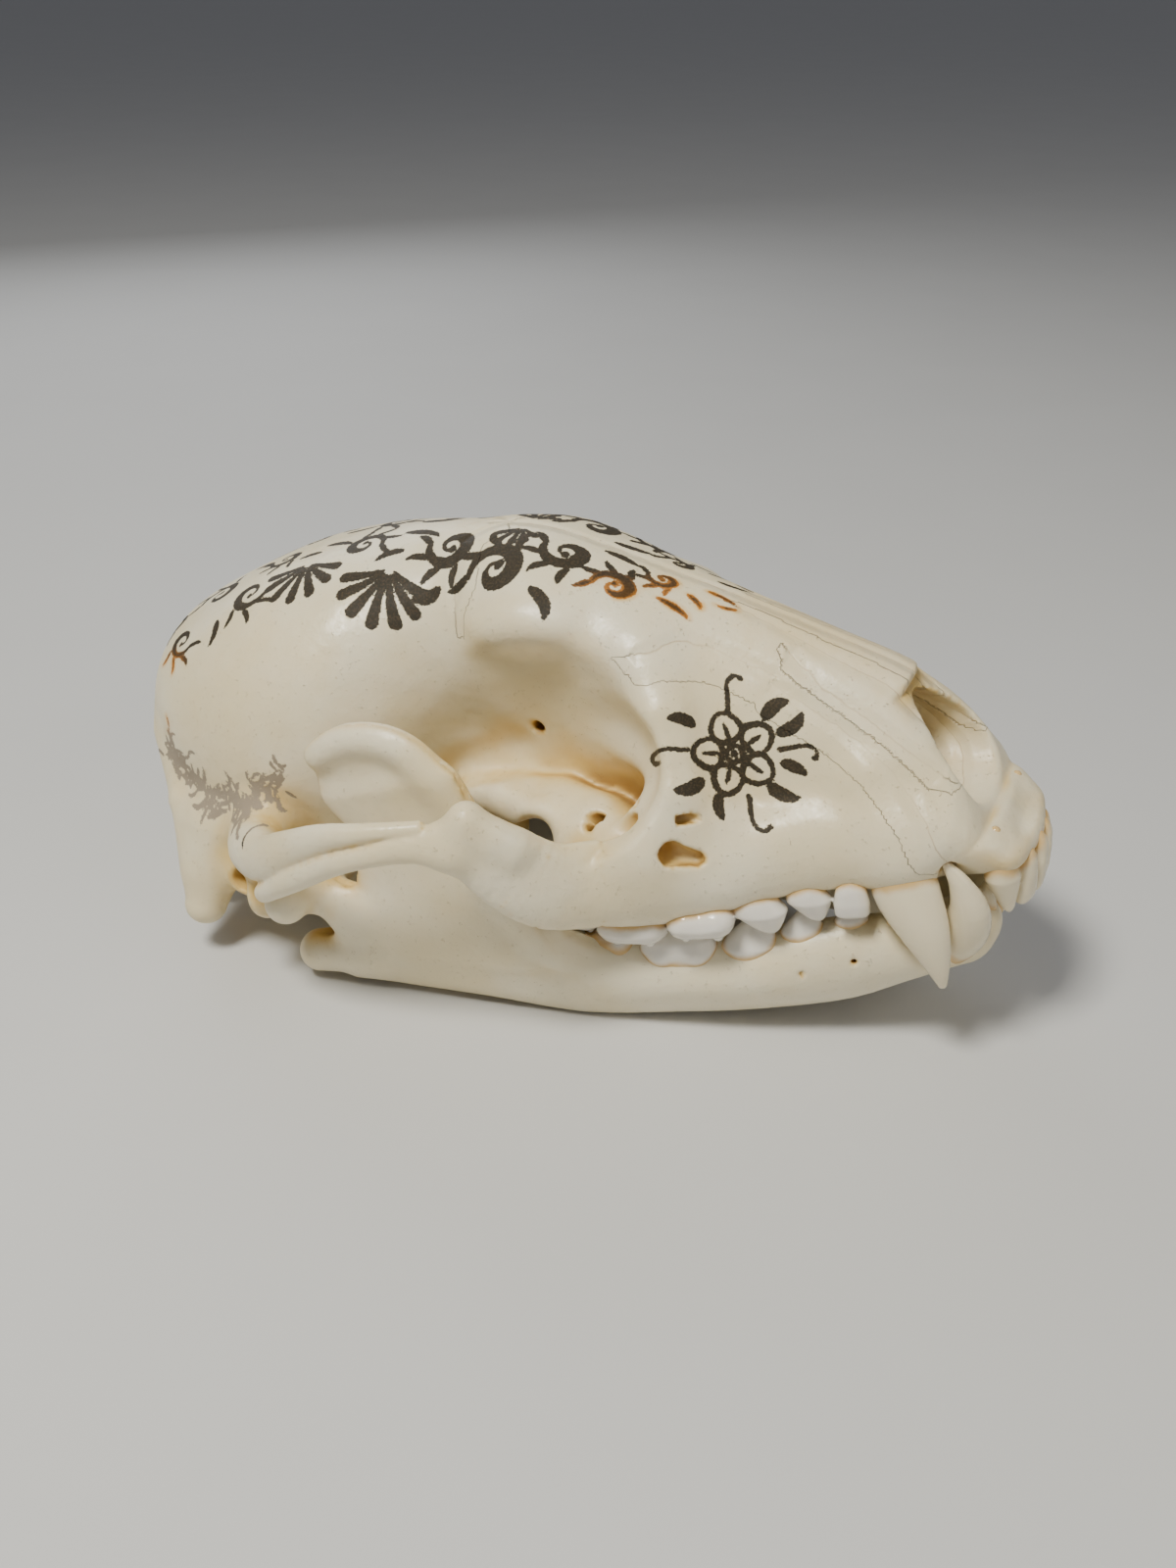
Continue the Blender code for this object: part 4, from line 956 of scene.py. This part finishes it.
class Nodes:
    """Short calls that add and join shader nodes."""

    def __init__(self, name):
        self.material = bpy.data.materials.new(name)
        self.material.use_nodes = True
        self.tree = self.material.node_tree
        self.shader = self.tree.nodes["Principled BSDF"]
        self.place = self.add("ShaderNodeTexCoord").outputs["Object"]

    def add(self, kind, **settings):
        node = self.tree.nodes.new(kind)
        for key, value in settings.items():
            setattr(node, key, value)
        return node

    def feed(self, socket, value):
        if isinstance(value, bpy.types.NodeSocket):
            self.tree.links.new(value, socket)
        else:
            socket.default_value = value

    def attribute(self, name):
        return self.add("ShaderNodeAttribute", attribute_name=name).outputs["Fac"]

    def noise(self, scale, detail=3.0, rough=0.5, place=None):
        """Noise from 0 to 1, with its lumps 1 / scale metres apart."""
        node = self.add("ShaderNodeTexNoise")
        self.feed(node.inputs["Vector"], place or self.place)
        for key, value in (("Scale", scale), ("Detail", detail), ("Roughness", rough)):
            node.inputs[key].default_value = value
        return node.outputs["Fac"]

    def math(self, operation, *values):
        node = self.add("ShaderNodeMath", operation=operation)
        for socket, value in zip(node.inputs, values):
            self.feed(socket, value)
        return node.outputs[0]

    def ramp(self, value, start, end, low=0.0, high=1.0):
        """Smooth step from low at start to high at end."""
        node = self.add("ShaderNodeMapRange", interpolation_type="SMOOTHSTEP")
        for socket, number in zip(node.inputs, (value, start, end, low, high)):
            self.feed(socket, number)
        return node.outputs[0]

    def mix(self, part, a, b):
        node = self.add("ShaderNodeMix", data_type="RGBA")
        self.feed(node.inputs[0], part)
        self.feed(node.inputs[6], a)
        self.feed(node.inputs[7], b)
        return node.outputs[2]

    def bump(self, height, distance, under=None):
        node = self.add("ShaderNodeBump")
        self.feed(node.inputs["Height"], height)
        node.inputs["Distance"].default_value = distance
        if under is not None:
            self.feed(node.inputs["Normal"], under)
        return node.outputs[0]


CREAM = (0.79, 0.685, 0.44, 1.0)
PALE = (0.83, 0.755, 0.56, 1.0)
WARM = (0.70, 0.49, 0.17, 1.0)
# dark brown for the deepest hollows: partly staining, partly painted shade
DEEP_SHADE_AND_STAIN = (0.34, 0.185, 0.045, 1.0)
INK = (0.007, 0.005, 0.004, 1.0)
INK_THIN = (0.042, 0.026, 0.014, 1.0)
BURNT = (0.44, 0.16, 0.02, 1.0)
HALO = (0.74, 0.46, 0.14, 1.0)
FADED = (0.30, 0.25, 0.19, 1.0)
SUTURE = (0.50, 0.34, 0.17, 1.0)
ENAMEL = (0.80, 0.76, 0.68, 1.0)
FRONT_TEETH = (0.80, 0.71, 0.50, 1.0)
TOOTH_NECK = (0.68, 0.45, 0.18, 1.0)


def bone_material():
    """Pale bone: warm along its sutures, warm to dark brown in its hollows partly as staining and partly as
    painted shade, with patches of painted warm shade in the nose and at the jaw joint, pored, with the ink of
    the ornament on it.
    """
    n = Nodes("bone")
    hollow, ink, seam = n.attribute("hollow"), n.attribute("ink"), n.attribute("seam")
    scorch, painted_warm_shade = n.attribute("scorch"), n.attribute("painted_warm_shade")
    broad, middle, fine, grain = n.noise(70.0), n.noise(320.0), n.noise(1300.0, 4.0), n.noise(4200.0, 2.0)
    colour = n.mix(n.ramp(broad, 0.34, 0.66), CREAM, PALE)
    # the deeper a spot lies in a hollow the warmer it turns: partly real staining, partly painted shade and
    # painted glow of light through the bone; the noise adds real random tone
    warm = n.math("MULTIPLY_ADD", middle, 0.35, n.math("MULTIPLY_ADD", hollow, 1.2, -0.17))
    # painted warm shade in the nose's inside and round the jaw joint
    warm = n.math("MULTIPLY_ADD", painted_warm_shade, 0.9, warm)
    colour = n.mix(n.ramp(warm, 0.10, 0.95), colour, WARM)
    # painted shade, with some staining: the deepest hollows darken to brown
    colour = n.mix(n.ramp(hollow, 0.62, 0.95), colour, DEEP_SHADE_AND_STAIN)
    pores = n.ramp(n.math("MULTIPLY", fine, grain), 0.38, 0.46)
    colour = n.mix(n.math("MULTIPLY", pores, 0.10), colour, SUTURE)
    crooked = n.math("MULTIPLY_ADD", n.noise(420.0), 0.8, n.math("SUBTRACT", seam, 0.4))
    line = n.ramp(n.math("ABSOLUTE", crooked), 0.01, 0.12, 1.0, 0.0)
    line = n.math("MULTIPLY", line, n.ramp(broad, 0.35, 0.65, 0.1, 0.55))
    colour = n.mix(line, colour, SUTURE)
    burnt = n.ramp(scorch, 0.1, 0.55)
    halo = n.math("MULTIPLY", n.ramp(ink, 0.05, 0.8, 0.85, 0.0), burnt)
    colour = n.mix(n.math("MULTIPLY", halo, n.ramp(middle, 0.35, 0.6)), colour, HALO)
    ragged = n.math("MULTIPLY_ADD", fine, 0.3, n.math("SUBTRACT", ink, 0.22))
    ragged = n.math("MULTIPLY_ADD", grain, 0.36, n.math("SUBTRACT", ragged, 0.18))
    mark = n.ramp(ragged, -0.04, 0.08, 0.96, 0.0)
    rim = n.math("MULTIPLY", n.ramp(ragged, -0.38, -0.04, 0.1, 1.0), burnt)
    dark = n.mix(n.ramp(grain, 0.42, 0.72), INK, INK_THIN)
    dark = n.mix(n.ramp(n.attribute("faint"), 0.0, 0.15), dark, FADED)
    colour = n.mix(mark, colour, n.mix(rim, dark, BURNT))
    n.feed(n.shader.inputs["Base Color"], colour)
    rough = n.math("MULTIPLY_ADD", mark, 0.2, n.ramp(fine, 0.2, 0.8, 0.27, 0.42))
    n.feed(n.shader.inputs["Roughness"], n.math("MULTIPLY_ADD", hollow, 0.15, rough))
    n.feed(n.shader.inputs["Specular IOR Level"], n.math("MULTIPLY_ADD", mark, -0.4, 0.5))
    n.shader.inputs["Subsurface Weight"].default_value = 0.12
    n.shader.inputs["Subsurface Radius"].default_value = (1.0, 0.75, 0.5)
    n.shader.inputs["Subsurface Scale"].default_value = 0.0016
    groove = n.ramp(n.math("ABSOLUTE", seam), 0.0, 1.3)
    relief = n.bump(groove, 0.00022, n.bump(broad, 0.0006))
    relief = n.bump(middle, 0.00014, relief)
    relief = n.bump(fine, 0.00005, relief)
    sunk = n.math("MAXIMUM", n.math("MAXIMUM", line, n.math("MULTIPLY", mark, 0.5)), pores)
    relief = n.bump(n.math("SUBTRACT", 1.0, sunk), 0.00009, relief)
    n.feed(n.shader.inputs["Normal"], relief)
    return n.material


def enamel_material():
    """Glossy, slightly blue-white enamel, yellow where a crown meets the bone."""
    n = Nodes("enamel")
    neck = n.math("MULTIPLY_ADD", n.noise(600.0), 0.3, n.math("SUBTRACT", n.attribute("neck"), 0.15))
    enamel = n.mix(n.attribute("front"), ENAMEL, FRONT_TEETH)
    colour = n.mix(n.ramp(neck, 0.0, 0.4), TOOTH_NECK, enamel)
    n.feed(n.shader.inputs["Base Color"], colour)
    n.feed(n.shader.inputs["Roughness"], n.ramp(n.noise(500.0), 0.3, 0.7, 0.13, 0.24))
    n.shader.inputs["Subsurface Weight"].default_value = 0.18
    n.shader.inputs["Subsurface Radius"].default_value = (1.0, 0.8, 0.6)
    n.shader.inputs["Subsurface Scale"].default_value = 0.001
    n.feed(n.shader.inputs["Normal"], n.bump(n.noise(900.0), 0.00006))
    return n.material


def grow():
    """Every piece's mesh, in the skull's own frame."""
    right = {
        "mandible": surface(fine_mandible, (-89.0, -35.0, -20.0), (2.0, 1.5, 27.0), JAW_STEP),
        "lower_teeth": surface(lowers, (-54.0, -22.0, -16.0), (2.0, 0.2, 6.0), TOOTH_STEP, halves=0),
        "upper_teeth": surface(uppers, (-56.0, -25.0, -13.0), (5.0, 0.2, 14.0), TOOTH_STEP, halves=0),
    }
    skull = surface(fine_cranium, (-116.4, -43.2, -10.2), (3.0, 0.0, 43.2), BONE_STEP, mirror=True)
    shells = {"cranium": skull}
    for name, (points, quads, hollow) in right.items():
        shells[name + "_right"] = (points, quads, hollow)
        shells[name + "_left"] = (points * (1, -1, 1), quads[:, ::-1], hollow)
    return shells


def build():
    shells = grow()
    spots = placed([points for points, _, _ in shells.values()])
    bone, enamel = bone_material(), enamel_material()
    for (name, (points, quads, hollow)), spot in zip(shells.items(), spots):
        marks = {"hollow": hollow}
        toothed = "teeth" in name
        if name == "cranium":
            marks |= {"ink": inked(points), "seam": seamed(points)}
            # the second set of spots is painted warm shade in the nose's inside and round the jaw joint
            marks |= {"scorch": spotted(points, SCORCHES), "painted_warm_shade": spotted(points, WARM_SHADE_SPOTS)}
            marks["faint"] = spotted(points, FAINT)
        elif toothed:
            base = cranium if "upper" in name else mandible
            right = points * (1, -1, 1) if "left" in name else points
            marks["neck"] = np.clip(in_parts(base, right) / NECK_REACH, 0.0, 1.0)
            marks["front"] = np.clip((points[:, 0] - FRONT_FROM) / FRONT_BLEND, 0.0, 1.0)
        else:
            far = np.full(len(points), NO_INK)
            marks |= {"ink": far, "seam": far}
        piece = mesh_object(name + "_fine", spot, quads, marks)
        piece.data.materials.append(enamel if toothed else bone)
        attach(piece, "root")
        if "mandible" in name or "lower" in name:
            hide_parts(name.replace("lower_teeth", "mandible"))
        else:
            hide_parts("cranium", "jugal_right", "jugal_left")


def camera():
    view = bpy.data.cameras.new("camera")
    view.lens = LENS
    view.sensor_width = 36.0
    spot = bpy.data.objects.new("camera", view)
    spot.location = CAMERA_AT
    spot.rotation_euler = [math.radians(angle) for angle in CAMERA_TURN]
    view.clip_start = 0.005
    bpy.context.scene.collection.objects.link(spot)
    bpy.context.scene.camera = spot


def floor():
    mesh = bpy.data.meshes.new("floor")
    corners = [(x * FLOOR_REACH, y * FLOOR_REACH, 0) for x, y in ((-1, -1), (1, -1), (1, 1), (-1, 1))]
    mesh.from_pydata(corners, [], [(0, 1, 2, 3)])
    piece = bpy.data.objects.new("floor", mesh)
    bpy.context.scene.collection.objects.link(piece)
    n = Nodes("floor")
    colour = n.mix(n.noise(30.0), (0.60, 0.60, 0.59, 1.0), (0.63, 0.63, 0.62, 1.0))
    n.feed(n.shader.inputs["Base Color"], colour)
    n.shader.inputs["Roughness"].default_value = 0.7
    mesh.materials.append(n.material)


def lamp(name, spot, aim, size, power, colour):
    light = bpy.data.lights.new(name, "AREA")
    light.size, light.energy, light.color = size, power, colour
    piece = bpy.data.objects.new(name, light)
    piece.location = spot
    piece.rotation_euler = (Vector(aim) - Vector(spot)).to_track_quat("-Z", "Y").to_euler()
    bpy.context.scene.collection.objects.link(piece)


def light():
    world = bpy.data.worlds.new("studio")
    world.use_nodes = True
    world.node_tree.nodes["Background"].inputs["Color"].default_value = (0.9, 0.92, 1.0, 1.0)
    world.node_tree.nodes["Background"].inputs["Strength"].default_value = 0.15
    bpy.context.scene.world = world
    middle = (0, 0, 0.03)
    lamp("key", (-0.06, -0.24, 0.46), middle, 0.12, 2.9, (1.0, 0.97, 0.88))
    lamp("fill", (0.40, -0.10, 0.26), middle, 0.3, 0.45, (1.0, 0.96, 0.88))
    lamp("rim", (-0.30, 0.30, 0.25), middle, 0.3, 0.5, (0.95, 0.97, 1.0))


build()
camera()
floor()
light()
